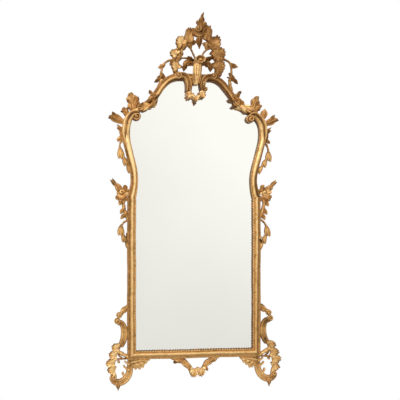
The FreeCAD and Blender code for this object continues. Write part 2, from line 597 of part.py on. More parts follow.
def backing_boards():
    """Three boards, sawn to the frame's shape, that lie side by side behind it."""
    whole = plate(frame_outline(BOARD_EDGE), 0, BOARD_THICKNESS)
    joints = [height(row) for row in BOARD_JOINT_ROWS_px]
    floor = FRAME_BOTTOM - OVERRUN
    ceiling = OVERALL_HEIGHT / 2
    lows = [floor] + [joint + BOARD_GAP / 2 for joint in joints]
    highs = [joint - BOARD_GAP / 2 for joint in joints] + [ceiling]
    boards = {}
    for name, low, high in zip(("lower", "middle", "upper"), lows, highs):
        band = Part.makeBox(FRAME_WIDTH + 2 * OVERRUN, BOARD_THICKNESS, high - low,
                            FreeCAD.Vector(-HALF_FRAME - OVERRUN, -BOARD_THICKNESS, low))
        boards[name + "_backboard"] = whole.common(band)
    return boards


def packing_blocks():
    """Wood blocks in the rebate that press the glass forward from the boards."""
    depth = GLASS_REAR - BOARD_THICKNESS
    blocks = []
    for row in BLOCK_ROWS_px:
        low = height(row) - BLOCK_LENGTH / 2
        for turn in TURN.values():
            wall = -turn * (STILE_CENTRE - REBATE_WALL)
            left = min(wall, wall + turn * REBATE_WIDTH)
            corner = FreeCAD.Vector(left, -GLASS_REAR, low)
            blocks.append(Part.makeBox(REBATE_WIDTH, depth, BLOCK_LENGTH, corner))
    for column in BLOCK_COLUMNS_px:
        left = spot((column, EYE_ROW_px)).x - BLOCK_LENGTH / 2
        corner = FreeCAD.Vector(left, -GLASS_REAR, BOTTOM_CENTRE + REBATE_WALL)
        blocks.append(Part.makeBox(BLOCK_LENGTH, depth, REBATE_WIDTH, corner))
    return blocks


# Joinery and screws

def dowel(middle, direction, clearance=0):
    """Round pin across a joint, or its hole where a clearance is given."""
    length = DOWEL_LENGTH + 2 * clearance
    return Part.makeCylinder(DOWEL_RADIUS + clearance, length, middle - direction * (length / 2), direction)


def frame_dowels(clearance=0):
    """Dowels at the shoulder joints, at the head joint and under the crest shells."""
    depth = BOARD_THICKNESS + JOINERY_DEPTH
    pins = [dowel(stile_line(side)[1][0] + FORWARD * depth, UP, clearance) for side in SIDES]
    pins.append(dowel(spot(HEAD_JOINT_px, depth), FreeCAD.Vector(1, 0, 0), clearance))
    pins += [dowel(spot(CREST_DOWEL_px[side], depth), UP, clearance) for side in SIDES]
    return pins


def corner_splines(clearance=0):
    """Thin square tongues across the two mitres."""
    side_length = SPLINE_SIDE + 2 * clearance
    thickness = SPLINE_THICKNESS + 2 * clearance
    tongues = []
    for turn in TURN.values():
        centre = FreeCAD.Vector(-turn * STILE_CENTRE, 0, BOTTOM_CENTRE)
        corner = FreeCAD.Vector(-side_length / 2, -thickness / 2, -side_length / 2)
        tongue = Part.makeBox(side_length, thickness, side_length, corner)
        tongue.rotate(FreeCAD.Vector(0, 0, 0), FORWARD, MITRE_ANGLE)
        tongue.translate(centre + FORWARD * (BOARD_THICKNESS + JOINERY_DEPTH))
        tongues.append(tongue)
    return tongues


def wood_screw(head_centre, length, clearance=0):
    """Countersunk screw that goes in forwards from its head, or its hole."""
    head = Part.makeCone(SCREW_HEAD_RADIUS + clearance, SCREW_SHANK_RADIUS + clearance,
                         SCREW_HEAD_HEIGHT, head_centre, FORWARD)
    shank = Part.makeCylinder(SCREW_SHANK_RADIUS + clearance, length + clearance, head_centre, FORWARD)
    return head.fuse(shank)


def board_screw_places():
    """Heads of the screws through the boards, on the middle of their lap on the rails."""
    across = BOARD_EDGE + BOARD_LAP * BOARD_SCREW_DEPTH_INTO_LAP_share
    places = []
    for side in SIDES:
        x = -TURN[side] * (STILE_CENTRE - across)
        places += [FreeCAD.Vector(x, 0, height(row)) for row in STILE_SCREW_ROWS_px]
        shoulder = beside(shoulder_line(side), across, side)
        arch = beside(arch_line(side), across, side)
        places += [shoulder[i][0] for i in SHOULDER_SCREW_STATIONS]
        places += [arch[i][0] for i in ARCH_SCREW_STATIONS]
    floor = BOTTOM_CENTRE + across
    columns = [spot((column, EYE_ROW_px)).x for column in BOTTOM_SCREW_COLUMNS_px]
    places += [FreeCAD.Vector(x, 0, floor) for x in columns]
    return places


# Ring hangers

def hanger_pivot(side):
    """Middle of a hanger ring's straight bar, behind the free strip of the stile's rear."""
    free_strip = HALF_FACE + BOARD_EDGE
    x = -TURN[side] * (HALF_FRAME - free_strip * HANGER_SHELF_share)
    return FreeCAD.Vector(x, KNUCKLE_RADIUS - BOARD_THICKNESS, height(HANGER_ROW_px))


def hanger_screw_places(side):
    """Heads of a hanger's two screws, on the rear of its strap."""
    pivot = hanger_pivot(side)
    rear = -BOARD_THICKNESS + STRAP_THICKNESS
    lowest = pivot.z - STRAP_LENGTH + HANGER_SCREW_END_MARGIN
    return [FreeCAD.Vector(pivot.x, rear, lowest + i * HANGER_SCREW_SPACING) for i in range(2)]


def hanger_strap(side):
    """Steel strap that is rolled round the ring's bar and screwed to the stile."""
    pivot = hanger_pivot(side)
    left = pivot.x - STRAP_WIDTH / 2
    across = FreeCAD.Vector(1, 0, 0)
    barrel_end = FreeCAD.Vector(left, pivot.y, pivot.z)
    barrel = Part.makeCylinder(KNUCKLE_RADIUS, STRAP_WIDTH, barrel_end, across)
    flat = Part.makeBox(STRAP_WIDTH, STRAP_THICKNESS, STRAP_LENGTH,
                        FreeCAD.Vector(left, -BOARD_THICKNESS, pivot.z - STRAP_LENGTH))
    bore_radius = RING_WIRE_RADIUS + RING_RUNNING_CLEARANCE
    bore = Part.makeCylinder(bore_radius, STRAP_WIDTH + 2 * OVERRUN, barrel_end - across * OVERRUN, across)
    strap = barrel.fuse(flat).cut(bore)
    for place in hanger_screw_places(side):
        strap = strap.cut(wood_screw(place, HANGER_SCREW_LENGTH, FIT_CLEARANCE))
    return strap


def hanger_ring(side):
    """Wire ring, square at its bar and round below, that hangs from its strap."""
    pivot = hanger_pivot(side)
    half = STRAP_WIDTH / 2 + RING_SIDE_CLEARANCE + RING_WIRE_RADIUS
    corner = RING_CORNER_RADIUS
    side_end = RING_DROP - half

    def at(x, drop):
        return pivot + FreeCAD.Vector(x, 0, -drop)

    bend = corner * (1 - math.sqrt(2) / 2)
    path = Part.Wire([
        Part.LineSegment(at(0, 0), at(half - corner, 0)).toShape(),
        Part.Arc(at(half - corner, 0), at(half - bend, bend), at(half, corner)).toShape(),
        Part.LineSegment(at(half, corner), at(half, side_end)).toShape(),
        Part.Arc(at(half, side_end), at(0, RING_DROP), at(-half, side_end)).toShape(),
        Part.LineSegment(at(-half, side_end), at(-half, corner)).toShape(),
        Part.Arc(at(-half, corner), at(bend - half, bend), at(corner - half, 0)).toShape(),
        Part.LineSegment(at(corner - half, 0), at(0, 0)).toShape(),
    ])
    section = Part.Wire(Part.makeCircle(RING_WIRE_RADIUS, pivot, FreeCAD.Vector(1, 0, 0)))
    return path.makePipeShell([section], True, False)


# Carvings

def value_along(values, share):
    """Smooth value at a share of the way along evenly spaced values (one polynomial through all)."""
    last = len(values) - 1
    total = 0.0
    for i, value in enumerate(values):
        weight = 1.0
        for j in range(len(values)):
            if j != i:
                weight *= (share * last - j) / (i - j)
        total += value * weight
    return total


class Spine:
    """Smooth line through hand-picked places, with points beside it."""

    def __init__(self, places_px):
        points = [spot(place) for place in places_px]
        if len(points) == 2:
            self.curve = Part.LineSegment(points[0], points[1])
        else:
            self.curve = Part.BSplineCurve()
            self.curve.interpolate(points)
        self.first = self.curve.FirstParameter
        self.span = self.curve.LastParameter - self.first

    def beside(self, share, offset):
        """Point at a share of the way along, moved square to the line."""
        parameter = self.first + self.span * share
        tangent = unit(self.curve.tangent(parameter)[0])
        return self.curve.value(parameter) + FreeCAD.Vector(-tangent.z, 0, tangent.x) * offset


def carving_side(spine, widths, hand, lobes, slimness, end_bevel):
    """Edges of one side of a carving: a lobe per arc, or a plain side in a few arcs."""
    arcs = lobes or PLAIN_SIDE_ARCS
    notch = LOBE_NOTCH_share if lobes else 0
    crest = LOBE_CREST_share if lobes else 1 / 2

    def at(step, notched):
        share = end_bevel + (1 - 2 * end_bevel) * step / arcs
        width = value_along(widths, step / arcs) * slimness
        return spine.beside(share, hand * width * (1 - notch if notched else 1))

    edges = []
    for i in range(arcs):
        start = at(i, 0 < i)
        end = at(i + 1, i + 1 < arcs)
        edges.append(arc_or_line(start, at(i + crest, False), end))
    return edges


def carving_outline(spine, widths, lobes, slimness, end_bevel, depth):
    """Closed outline of a carving at one depth."""
    right = carving_side(spine, widths, -1, lobes, slimness, end_bevel)
    left = carving_side(spine, widths, 1, lobes, slimness, end_bevel)
    ends = []
    for end in (0, 1):
        share = end_bevel if end == 0 else 1 - end_bevel
        width = value_along(widths, end) * slimness
        ends.append(Part.LineSegment(spine.beside(share, -width), spine.beside(share, width)).toShape())
    edges = Part.__sortEdges__([ends[0]] + left + [ends[1]] + right)
    return lifted(Part.Wire(edges), depth)


def carved(places_px, widths_px, lobes, layer):
    """Bevelled solid along a spine, wide at its back and drawn in to a ridge at its front."""
    spine = Spine(places_px)
    widths = [width * MM_PER_PIXEL for width in widths_px]
    back, front = LAYERS[layer]
    low = carving_outline(spine, widths, lobes, 1, 0, back)
    high = carving_outline(spine, widths, lobes, RIDGE_share, END_BEVEL_share, front)
    return Part.makeLoft([low, high], True, True)


def leaf(layer, half_width_px, lobes, *places_px):
    """Acanthus leaf with lobes on both sides."""
    return carved(places_px, [half_width_px * share for share in LEAF_shares], lobes, layer)


def shell(layer, half_width_px, lobes, *places_px):
    """Ruffled shell that widens towards its lip."""
    return carved(places_px, [half_width_px * share for share in SHELL_shares], lobes, layer)


def husk(layer, half_width_px, *places_px):
    """Bell-shaped husk with an open mouth."""
    return carved(places_px, [half_width_px * share for share in HUSK_shares], 0, layer)


def stem(layer, widths_px, *places_px):
    """Plain stem or scroll, with its half-widths from end to end."""
    return carved(places_px, widths_px, 0, layer)


def boss(layer, radius_px, place_px):
    """Round eye of a scroll, or a bead."""
    back, front = LAYERS[layer]
    radius = radius_px * MM_PER_PIXEL
    return Part.makeCone(radius, radius * DISC_TOP_share, front - back, spot(place_px, back), FORWARD)


def joined(pieces):
    """One carved solid out of overlapping forms."""
    return pieces[0].multiFuse(pieces[1:]).removeSplitter() if len(pieces) > 1 else pieces[0]


FORMS = {"leaf": leaf, "shell": shell, "husk": husk, "stem": stem, "boss": boss}


def carving(forms_px):
    """Carving made of the forms in one row of the tables."""
    return joined([FORMS[form](*values) for form, *values in forms_px])


def flower_vase():
    """Fluted vase of flat facets, with a flat rear, that stands in front of the head joint."""
    rings = []
    for radius_px, row in VASE_RADII_AND_ROWS_px:
        centre = spot((VASE_AXIS_COLUMN_px, row), VASE_AXIS_DEPTH)
        radius = radius_px * MM_PER_PIXEL
        angles = [2 * math.pi * (i + 1 / 2) / VASE_FACETS for i in range(VASE_FACETS)]
        spokes = [FreeCAD.Vector(math.cos(angle), math.sin(angle), 0) for angle in angles]
        corners = [centre + spoke * radius for spoke in spokes]
        rings.append(Part.makePolygon(corners + corners[:1]))
    body = Part.makeLoft(rings, True, True)
    behind = Part.makeBox(FRAME_WIDTH, VASE_AXIS_DEPTH + OVERRUN, OVERALL_HEIGHT,
                          FreeCAD.Vector(-HALF_FRAME, -VASE_SEAT, -OVERALL_HEIGHT / 2))
    return body.cut(behind)


def vase_notch():
    """Level seat that is cut across the arch rails' moulding for the vase."""
    half_width = max(radius for radius, row in VASE_RADII_AND_ROWS_px) * MM_PER_PIXEL + VASE_NOTCH_CLEARANCE
    middle = spot((VASE_AXIS_COLUMN_px, HEAD_JOINT_px[1]))
    corner = FreeCAD.Vector(middle.x - half_width, -FRAME_FRONT - OVERRUN, middle.z - RAIL_FACE)
    return Part.makeBox(2 * half_width, FRAME_FRONT + OVERRUN - VASE_SEAT, 2 * RAIL_FACE, corner)


def vase_blossom():
    """Round flower of petals about a middle, over the vase's mouth."""
    back = CARVING_BACK
    rise = BLOSSOM_HEIGHT - back
    radius = BLOSSOM_RADIUS_px * MM_PER_PIXEL
    column, row = BLOSSOM_CENTRE_px
    centres = [BLOSSOM_CENTRE_px]
    for i in range(BLOSSOM_PETALS):
        angle = 2 * math.pi * i / BLOSSOM_PETALS
        centres.append((column + BLOSSOM_SPREAD_px[0] * math.cos(angle),
                        row + BLOSSOM_SPREAD_px[1] * math.sin(angle)))
    return joined([Part.makeCone(radius, radius * DISC_TOP_share, rise, spot(centre, back), FORWARD)
                   for centre in centres])


def seated(piece, neighbours):
    """Piece hollowed where it meets what is already fitted, without crumbs."""
    for neighbour in neighbours:
        if piece.BoundBox.intersect(neighbour.BoundBox):
            piece = piece.cut(neighbour)
    least = piece.Volume * SMALLEST_KEPT_share
    return Part.makeCompound([solid for solid in piece.Solids if solid.Volume > least])


def bored(shape, holes):
    """Shape with the holes that reach into it cut out."""
    near = [hole for hole in holes if hole.BoundBox.intersect(shape.BoundBox)]
    return shape.cut(near) if near else shape


def build():
    """All nodes by name."""
    rails = {"bottom_rail": bottom_rail()}
    for side in SIDES:
        rails[side + "_stile"] = stile(side)
        rails[side + "_shoulder_rail"] = swept_rail(shoulder_line(side), side)
    for side in SIDES:
        shoulder = rails[side + "_shoulder_rail"]
        arch = seated(swept_rail(arch_line(side), side), [shoulder])
        rails[side + "_arch_rail"] = arch.cut(vase_notch())
    boards = backing_boards()
    vase = flower_vase()
    carvings = {"flower_vase": vase, "vase_blossom": seated(vase_blossom(), [vase])}
    fitted = list(rails.values()) + list(carvings.values())
    for table in (CREST_CARVINGS_px, SHOULDER_CARVINGS_px, SIDE_CARVINGS_px, FOOT_CARVINGS_px):
        for name, forms_px in table.items():
            carvings[name] = seated(carving(forms_px), fitted)
            fitted.append(carvings[name])

    hanger_places = [place for side in SIDES for place in hanger_screw_places(side)]
    joinery_holes = frame_dowels(FIT_CLEARANCE) + corner_splines(FIT_CLEARANCE)
    screw_holes = [wood_screw(place, BOARD_SCREW_LENGTH, FIT_CLEARANCE) for place in board_screw_places()]
    hanger_holes = [wood_screw(place, HANGER_SCREW_LENGTH, FIT_CLEARANCE) for place in hanger_places]
    nodes = {}
    for name, shape in rails.items():
        nodes[name] = bored(shape, joinery_holes + screw_holes + hanger_holes)
    for name, shape in boards.items():
        nodes[name] = bored(shape, screw_holes)
    for name, shape in carvings.items():
        nodes[name] = bored(shape, joinery_holes)
    nodes["mirror_glass"] = mirror_glass()
    nodes["packing_blocks"] = Part.makeCompound(packing_blocks())
    nodes["frame_dowels"] = Part.makeCompound(frame_dowels())
    nodes["corner_splines"] = Part.makeCompound(corner_splines())
    nodes["board_screws"] = Part.makeCompound(
        [wood_screw(place, BOARD_SCREW_LENGTH) for place in board_screw_places()])
    nodes["hanger_screws"] = Part.makeCompound(
        [wood_screw(place, HANGER_SCREW_LENGTH) for place in hanger_places])
    for side in SIDES:
        nodes[side + "_hanger_strap"] = hanger_strap(side)
        nodes[side + "_hanger_ring"] = hanger_ring(side)
    return nodes


os.makedirs("parts", exist_ok=True)
for node_name, node_shape in build().items():
    node_shape.exportStep("parts/" + node_name + ".step")
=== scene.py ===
import bpy
import math
import numpy as np
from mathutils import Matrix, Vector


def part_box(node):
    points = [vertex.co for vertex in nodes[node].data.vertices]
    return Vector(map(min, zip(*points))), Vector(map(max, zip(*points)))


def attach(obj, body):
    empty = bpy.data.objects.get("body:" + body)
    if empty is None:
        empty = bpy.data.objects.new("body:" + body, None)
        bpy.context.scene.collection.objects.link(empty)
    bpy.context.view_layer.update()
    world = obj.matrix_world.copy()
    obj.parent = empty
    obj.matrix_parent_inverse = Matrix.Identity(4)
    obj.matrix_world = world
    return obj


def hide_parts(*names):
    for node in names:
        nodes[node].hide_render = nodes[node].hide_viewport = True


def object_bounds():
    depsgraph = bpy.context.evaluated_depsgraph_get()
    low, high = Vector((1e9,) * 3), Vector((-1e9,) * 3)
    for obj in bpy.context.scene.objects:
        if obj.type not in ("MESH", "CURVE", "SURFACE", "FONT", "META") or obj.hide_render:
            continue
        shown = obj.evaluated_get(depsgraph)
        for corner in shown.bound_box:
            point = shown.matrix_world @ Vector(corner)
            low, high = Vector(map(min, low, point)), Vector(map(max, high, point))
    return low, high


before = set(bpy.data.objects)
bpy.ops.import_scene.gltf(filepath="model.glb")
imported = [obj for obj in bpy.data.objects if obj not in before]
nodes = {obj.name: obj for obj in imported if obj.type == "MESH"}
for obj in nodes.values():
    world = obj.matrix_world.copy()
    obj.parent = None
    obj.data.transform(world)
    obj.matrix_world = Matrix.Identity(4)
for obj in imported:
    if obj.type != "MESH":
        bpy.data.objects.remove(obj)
cad_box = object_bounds()


# Frame rails: limewood mouldings with a cove outside, a round bead in the middle, a hollow, and a
# sight edge that is cut into a row of small leaf tips. The stiles and the bottom rail are straight and
# mitred; the shoulders and the arch are sawn to their curves. All of it is gessoed and gilded.

FRAME_WIDTH = 0.575
OVERALL_HEIGHT = 1.606
VIEW_COLUMN_px = 194
EYE_ROW_px = 285
RECESSION_share = 0.0002
STILE_OUTER_COLUMNS_px = {"left": 127.3, "right": 260.7}
FINIAL_TIP_px = (203.8, 12)
FOOT_TIP_px = (118, 390.5)


def squared(places_px):
    """Places as they would lie in a view straight from the front: their offsets from the eye's point
    grow by 1 / (1 - recession * columns from the middle)."""
    places = np.asarray(places_px, float)
    eye = np.array((VIEW_COLUMN_px, EYE_ROW_px))
    gain = 1 / (1 - RECESSION_share * (places[..., :1] - VIEW_COLUMN_px))
    return eye + (places - eye) * gain


stile_columns = squared([(column, EYE_ROW_px) for column in STILE_OUTER_COLUMNS_px.values()])[:, 0]
tip_rows = squared((FINIAL_TIP_px, FOOT_TIP_px))[:, 1]
METRES_PER_STEP = np.array((FRAME_WIDTH / np.ptp(stile_columns), -OVERALL_HEIGHT / np.ptp(tip_rows)))
MIDDLE_STEP = np.array((stile_columns.mean(), tip_rows.mean()))
# Metres per pixel, as a mean of both directions
PIXEL = math.sqrt(-METRES_PER_STEP.prod())


def spot(places_px):
    """X and Z, in metres, of places in the front view."""
    return (squared(places_px) - MIDDLE_STEP) * METRES_PER_STEP


def length_along(points):
    """Length of a line from its start up to each of its points."""
    return np.concatenate([[0], np.cumsum(np.linalg.norm(np.diff(points, axis=0), axis=1))])


DENSE_STEPS = 4


def line_through(places_px, stations):
    """Smooth line through given places: cubic arcs whose slope at each place follows its
    neighbours, taken at even steps of length. Gives points, tangents and left-hand normals."""
    places = spot(places_px)
    steps = np.sqrt(np.linalg.norm(np.diff(places, axis=0), axis=1))
    knots = np.concatenate([[0], np.cumsum(steps)])
    slopes = np.gradient(places, knots, axis=0, edge_order=min(2, len(knots) - 1))
    share = np.linspace(0, knots[-1], DENSE_STEPS * stations)
    piece = np.clip(np.searchsorted(knots, share, "right") - 1, 0, len(knots) - 2)
    span = (knots[piece + 1] - knots[piece])[:, None]
    t = (share - knots[piece])[:, None] / span
    dense = ((2 * t**3 - 3 * t**2 + 1) * places[piece] + (t**3 - 2 * t**2 + t) * span * slopes[piece]
             + (3 * t**2 - 2 * t**3) * places[piece + 1] + (t**3 - t**2) * span * slopes[piece + 1])
    run = length_along(dense)
    even = np.linspace(0, run[-1], stations)
    points = np.stack([np.interp(even, run, dense[:, 0]), np.interp(even, run, dense[:, 1])], 1)
    tangents = np.gradient(points, axis=0)
    tangents /= np.linalg.norm(tangents, axis=1, keepdims=True)
    normals = np.stack([-tangents[:, 1], tangents[:, 0]], 1)
    return points, tangents, normals


def in_space(flat, depth):
    """Points with X and Z from a flat array, brought forward of the wall by a depth."""
    depth = np.broadcast_to(depth, flat.shape[:-1])
    return np.stack([flat[..., 0], -depth, flat[..., 1]], -1)


SHARP_ANGLE = math.radians(55)


def gilded_piece(name, patches, node):
    """One mesh out of closed patches. Each patch is a grid of rings: the rings are joined in turn,
    wrapped round, and zipped up flat at both ends. It carries how high each point lies in the carving,
    with painted shade and painted highlight mixed in (relief), and how well it is gilded (gilt), and
    stands for a solid of the frame."""
    corners, quads, relief_and_shading_values, gilts = [], [], [], []
    first = 0
    for points, relief_and_shading, gilt in patches:
        rings, around = points.shape[:2]
        index = np.arange(rings * around).reshape(rings, around)
        beside = np.roll(index, -1, axis=1)
        wall = np.stack([index[:-1], beside[:-1], beside[1:], index[1:]], -1).reshape(-1, 4)
        half = np.arange(around // 2 - 1)
        zip_up = np.stack([half, half + 1, around - 2 - half, around - 1 - half], -1)
        faces = np.concatenate([wall, zip_up[:, ::-1], zip_up + (rings - 1) * around])
        flat = points.reshape(-1, 3)
        a, b, c, d = (flat[faces[:, i]] for i in range(4))
        volume = np.einsum("ij,ij->", a, np.cross(b, c)) + np.einsum("ij,ij->", a, np.cross(c, d))
        faces = faces if volume > 0 else faces[:, ::-1]
        corners.append(flat)
        quads.append(faces + first)
        relief_and_shading_values.append(np.broadcast_to(relief_and_shading, (rings, around)).ravel())
        gilts.append(np.broadcast_to(gilt, (rings, around)).ravel())
        first += len(flat)
    mesh = bpy.data.meshes.new(name)
    mesh.from_pydata(np.concatenate(corners), [], np.concatenate(quads))
    mesh.polygons.foreach_set("use_smooth", np.ones(len(mesh.polygons), bool))
    mesh.set_sharp_from_angle(angle=SHARP_ANGLE)
    for attribute, values in (("relief_and_shading", relief_and_shading_values), ("gilt", gilts)):
        layer = mesh.attributes.new(attribute, "FLOAT", "POINT")
        layer.data.foreach_set("value", np.concatenate(values).astype(np.float32))
    mesh.materials.append(gilding)
    piece = bpy.data.objects.new(name, mesh)
    bpy.context.scene.collection.objects.link(piece)
    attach(piece, "frame")
    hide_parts(node)


class Shade:
    """A socket of a material, on which sums, differences and products add Math nodes."""

    def __init__(self, tree, socket=None):
        self.tree = tree
        self.socket = socket

    def node(self, kind, settings=None, sockets=None, output=0):
        """New node of a kind: its settings first, then the values or links of its sockets."""
        made = self.tree.nodes.new(kind)
        for key, value in (settings or {}).items():
            setattr(made, key, value)
        for key, value in (sockets or {}).items():
            if isinstance(value, Shade):
                self.tree.links.new(value.socket, made.inputs[key])
            else:
                made.inputs[key].default_value = value
        return Shade(self.tree, made.outputs[output])

    def maths(self, operation, first, second):
        """Math node over two values or sockets."""
        return self.node("ShaderNodeMath", {"operation": operation}, {0: first, 1: second})

    def __add__(self, other):
        return self.maths("ADD", self, other)

    __radd__ = __add__

    def __sub__(self, other):
        return self.maths("SUBTRACT", self, other)

    def __rsub__(self, other):
        return self.maths("SUBTRACT", other, self)

    def __mul__(self, other):
        return self.maths("MULTIPLY", self, other)

    __rmul__ = __mul__

    def step(self, low, high):
        """Smooth step from 0 at low to 1 at high."""
        return self.node("ShaderNodeMapRange", {"interpolation_type": "SMOOTHSTEP"},
                         {"Value": self, "From Min": low, "From Max": high})

    def blend(self, under, over):
        """Colour that goes from under to over as this value goes from 0 to 1."""
        return self.node("ShaderNodeMix", {"data_type": "RGBA"}, {0: self, 6: under, 7: over}, 2)

    def noise(self, scale, detail):
        """Noise from 0 to 1 over these coordinates."""
        return self.node("ShaderNodeTexNoise", {}, {"Vector": self, "Scale": scale, "Detail": detail})

    def part(self, axis):
        """One part of these coordinates."""
        return self.node("ShaderNodeSeparateXYZ", {}, {0: self}, axis)

    def bumped(self, strength, distance):
        """Normal of a surface that has this value as its height."""
        return self.node("ShaderNodeBump", {},
                         {"Height": self, "Strength": strength, "Distance": distance})


def tone(red, green, blue):
    """Colour of the usual 0 to 255 scale as linear light."""
    shares = np.array((red, green, blue)) / 255
    light = np.where(shares > 0.04045, ((shares + 0.055) / 1.055) ** 2.4, shares / 12.92)
    return (*light.tolist(), 1.0)


def new_material(name):
    """New material with its shader and the object's own coordinates."""
    material = bpy.data.materials.new(name)
    material.use_nodes = True
    tree = material.node_tree
    place = Shade(tree).node("ShaderNodeTexCoord", output="Object")
    return material, tree.nodes["Principled BSDF"], place


def feed(shader, name, value):
    """Link of a varying value to one of the shader's sockets."""
    value.tree.links.new(value.socket, shader.inputs[name])


# Water gilding: gold leaf over red clay on gesso. It is rubbed bright on the ridges, brown with old
# size and dust in the hollows, and the clay shows through in worn patches. The bright ridges are also
# painted highlights, and the brown hollows, walls and edges are also painted shade. Soot dulls the upper
# part, and the colour there grows darker still towards its right.
RUBBED_GOLD_AND_HIGHLIGHT = tone(255, 225, 162)
GOLD = tone(222, 174, 108)
TONED_GOLD = tone(174, 126, 70)
HOLLOW_BROWN_AND_SHADE = tone(74, 46, 18)
RED_CLAY = tone(168, 98, 58)
OLIVE_SIZE = tone(150, 118, 58)
SOOT_BROWN = tone(122, 78, 30)
BARE_BACK = tone(134, 100, 62)
CLOUD_SCALE = 22
SPOT_SCALE = 75
GRAIN_SCALE = 420
TONED_HEIGHTS = (0.02, 0.34)
GOLD_HEIGHTS = (0.26, 0.62)
RUBBED_AND_HIGHLIGHT_HEIGHTS = (0.58, 0.98)
METAL_HEIGHTS = (0.1, 0.9)
SMOOTH_HEIGHTS = (0.2, 1)
WORN_RANGE = (0.54, 0.66)
OLIVE_RANGE = (0.52, 0.66)
GILT_RANGE = (0.2, 0.8)
SOOT_RISE = (0.3, 0.6)
RIGHT_DARKENING_ASIDE = (-0.12, 0.12)
WORN_share = 0.65
OLIVE_share = 0.7
LEFT_SOOT_share = 0.48
ADDED_RIGHT_DARKENING_share = 0.28
METAL_share = 0.32
GILDING_BUMP = 0.35
GILDING_BUMP_DEPTH = 0.0012

gilding, shader, place = new_material("gilding")
relief_and_shading = place.node("ShaderNodeAttribute", {"attribute_name": "relief_and_shading"}, output="Fac")
gilt = place.node("ShaderNodeAttribute", {"attribute_name": "gilt"}, output="Fac")
clouds = place.noise(CLOUD_SCALE, 4)
spots = place.noise(SPOT_SCALE, 5)
grain = place.noise(GRAIN_SCALE, 3)
height = relief_and_shading + (spots - 0.5) * 0.62 + (clouds - 0.5) * 0.4
# Painted shade and painted highlight: brown in low points and pale gold on high ones, which is also the
# patina in the hollows and the rubbing on the ridges.
colour = height.step(*TONED_HEIGHTS).blend(HOLLOW_BROWN_AND_SHADE, TONED_GOLD)
colour = height.step(*GOLD_HEIGHTS).blend(colour, GOLD)
colour = height.step(*RUBBED_AND_HIGHLIGHT_HEIGHTS).blend(colour, RUBBED_GOLD_AND_HIGHLIGHT)
worn = (spots * 0.6 + clouds * 0.4).step(*WORN_RANGE)
colour = (worn * WORN_share).blend(colour, RED_CLAY)
olive = (1 - spots * 0.5 - clouds * 0.5).step(*OLIVE_RANGE)
colour = (olive * (1 - relief_and_shading) * OLIVE_share).blend(colour, OLIVE_SIZE)
# The upper part grows darker, and darker still towards the right.
soot_and_right_darkening = LEFT_SOOT_share + place.part("X").step(*RIGHT_DARKENING_ASIDE) * ADDED_RIGHT_DARKENING_share
soot_and_right_darkening = place.part("Z").step(*SOOT_RISE) * (1.2 - height) * soot_and_right_darkening
colour = soot_and_right_darkening.blend(colour, SOOT_BROWN)
colour = gilt.step(*GILT_RANGE).blend(BARE_BACK, colour)
feed(shader, "Base Color", colour)
feed(shader, "Metallic", gilt * height.step(*METAL_HEIGHTS) * METAL_share)
feed(shader, "Roughness", 0.62 - height.step(*SMOOTH_HEIGHTS) * 0.24 + (grain - 0.5) * 0.2)
feed(shader, "Normal", (grain * 0.4 + spots).bumped(GILDING_BUMP, GILDING_BUMP_DEPTH))
shader.inputs["Specular IOR Level"].default_value = 0.2

HALF_FACE = 0.01825
BOARD_DEPTH = 0.006
SIDE_HEIGHT = 0.018
BEAD_HEIGHT = 0.033
BEAD_SWELL = 0.0102
FLAT_SWELL = 0.001
REBATE_DEPTH = 0.01
REBATE_share = 0.56
HOLLOW_share = 0.29
SIGHT_CROWN_share = 0.63


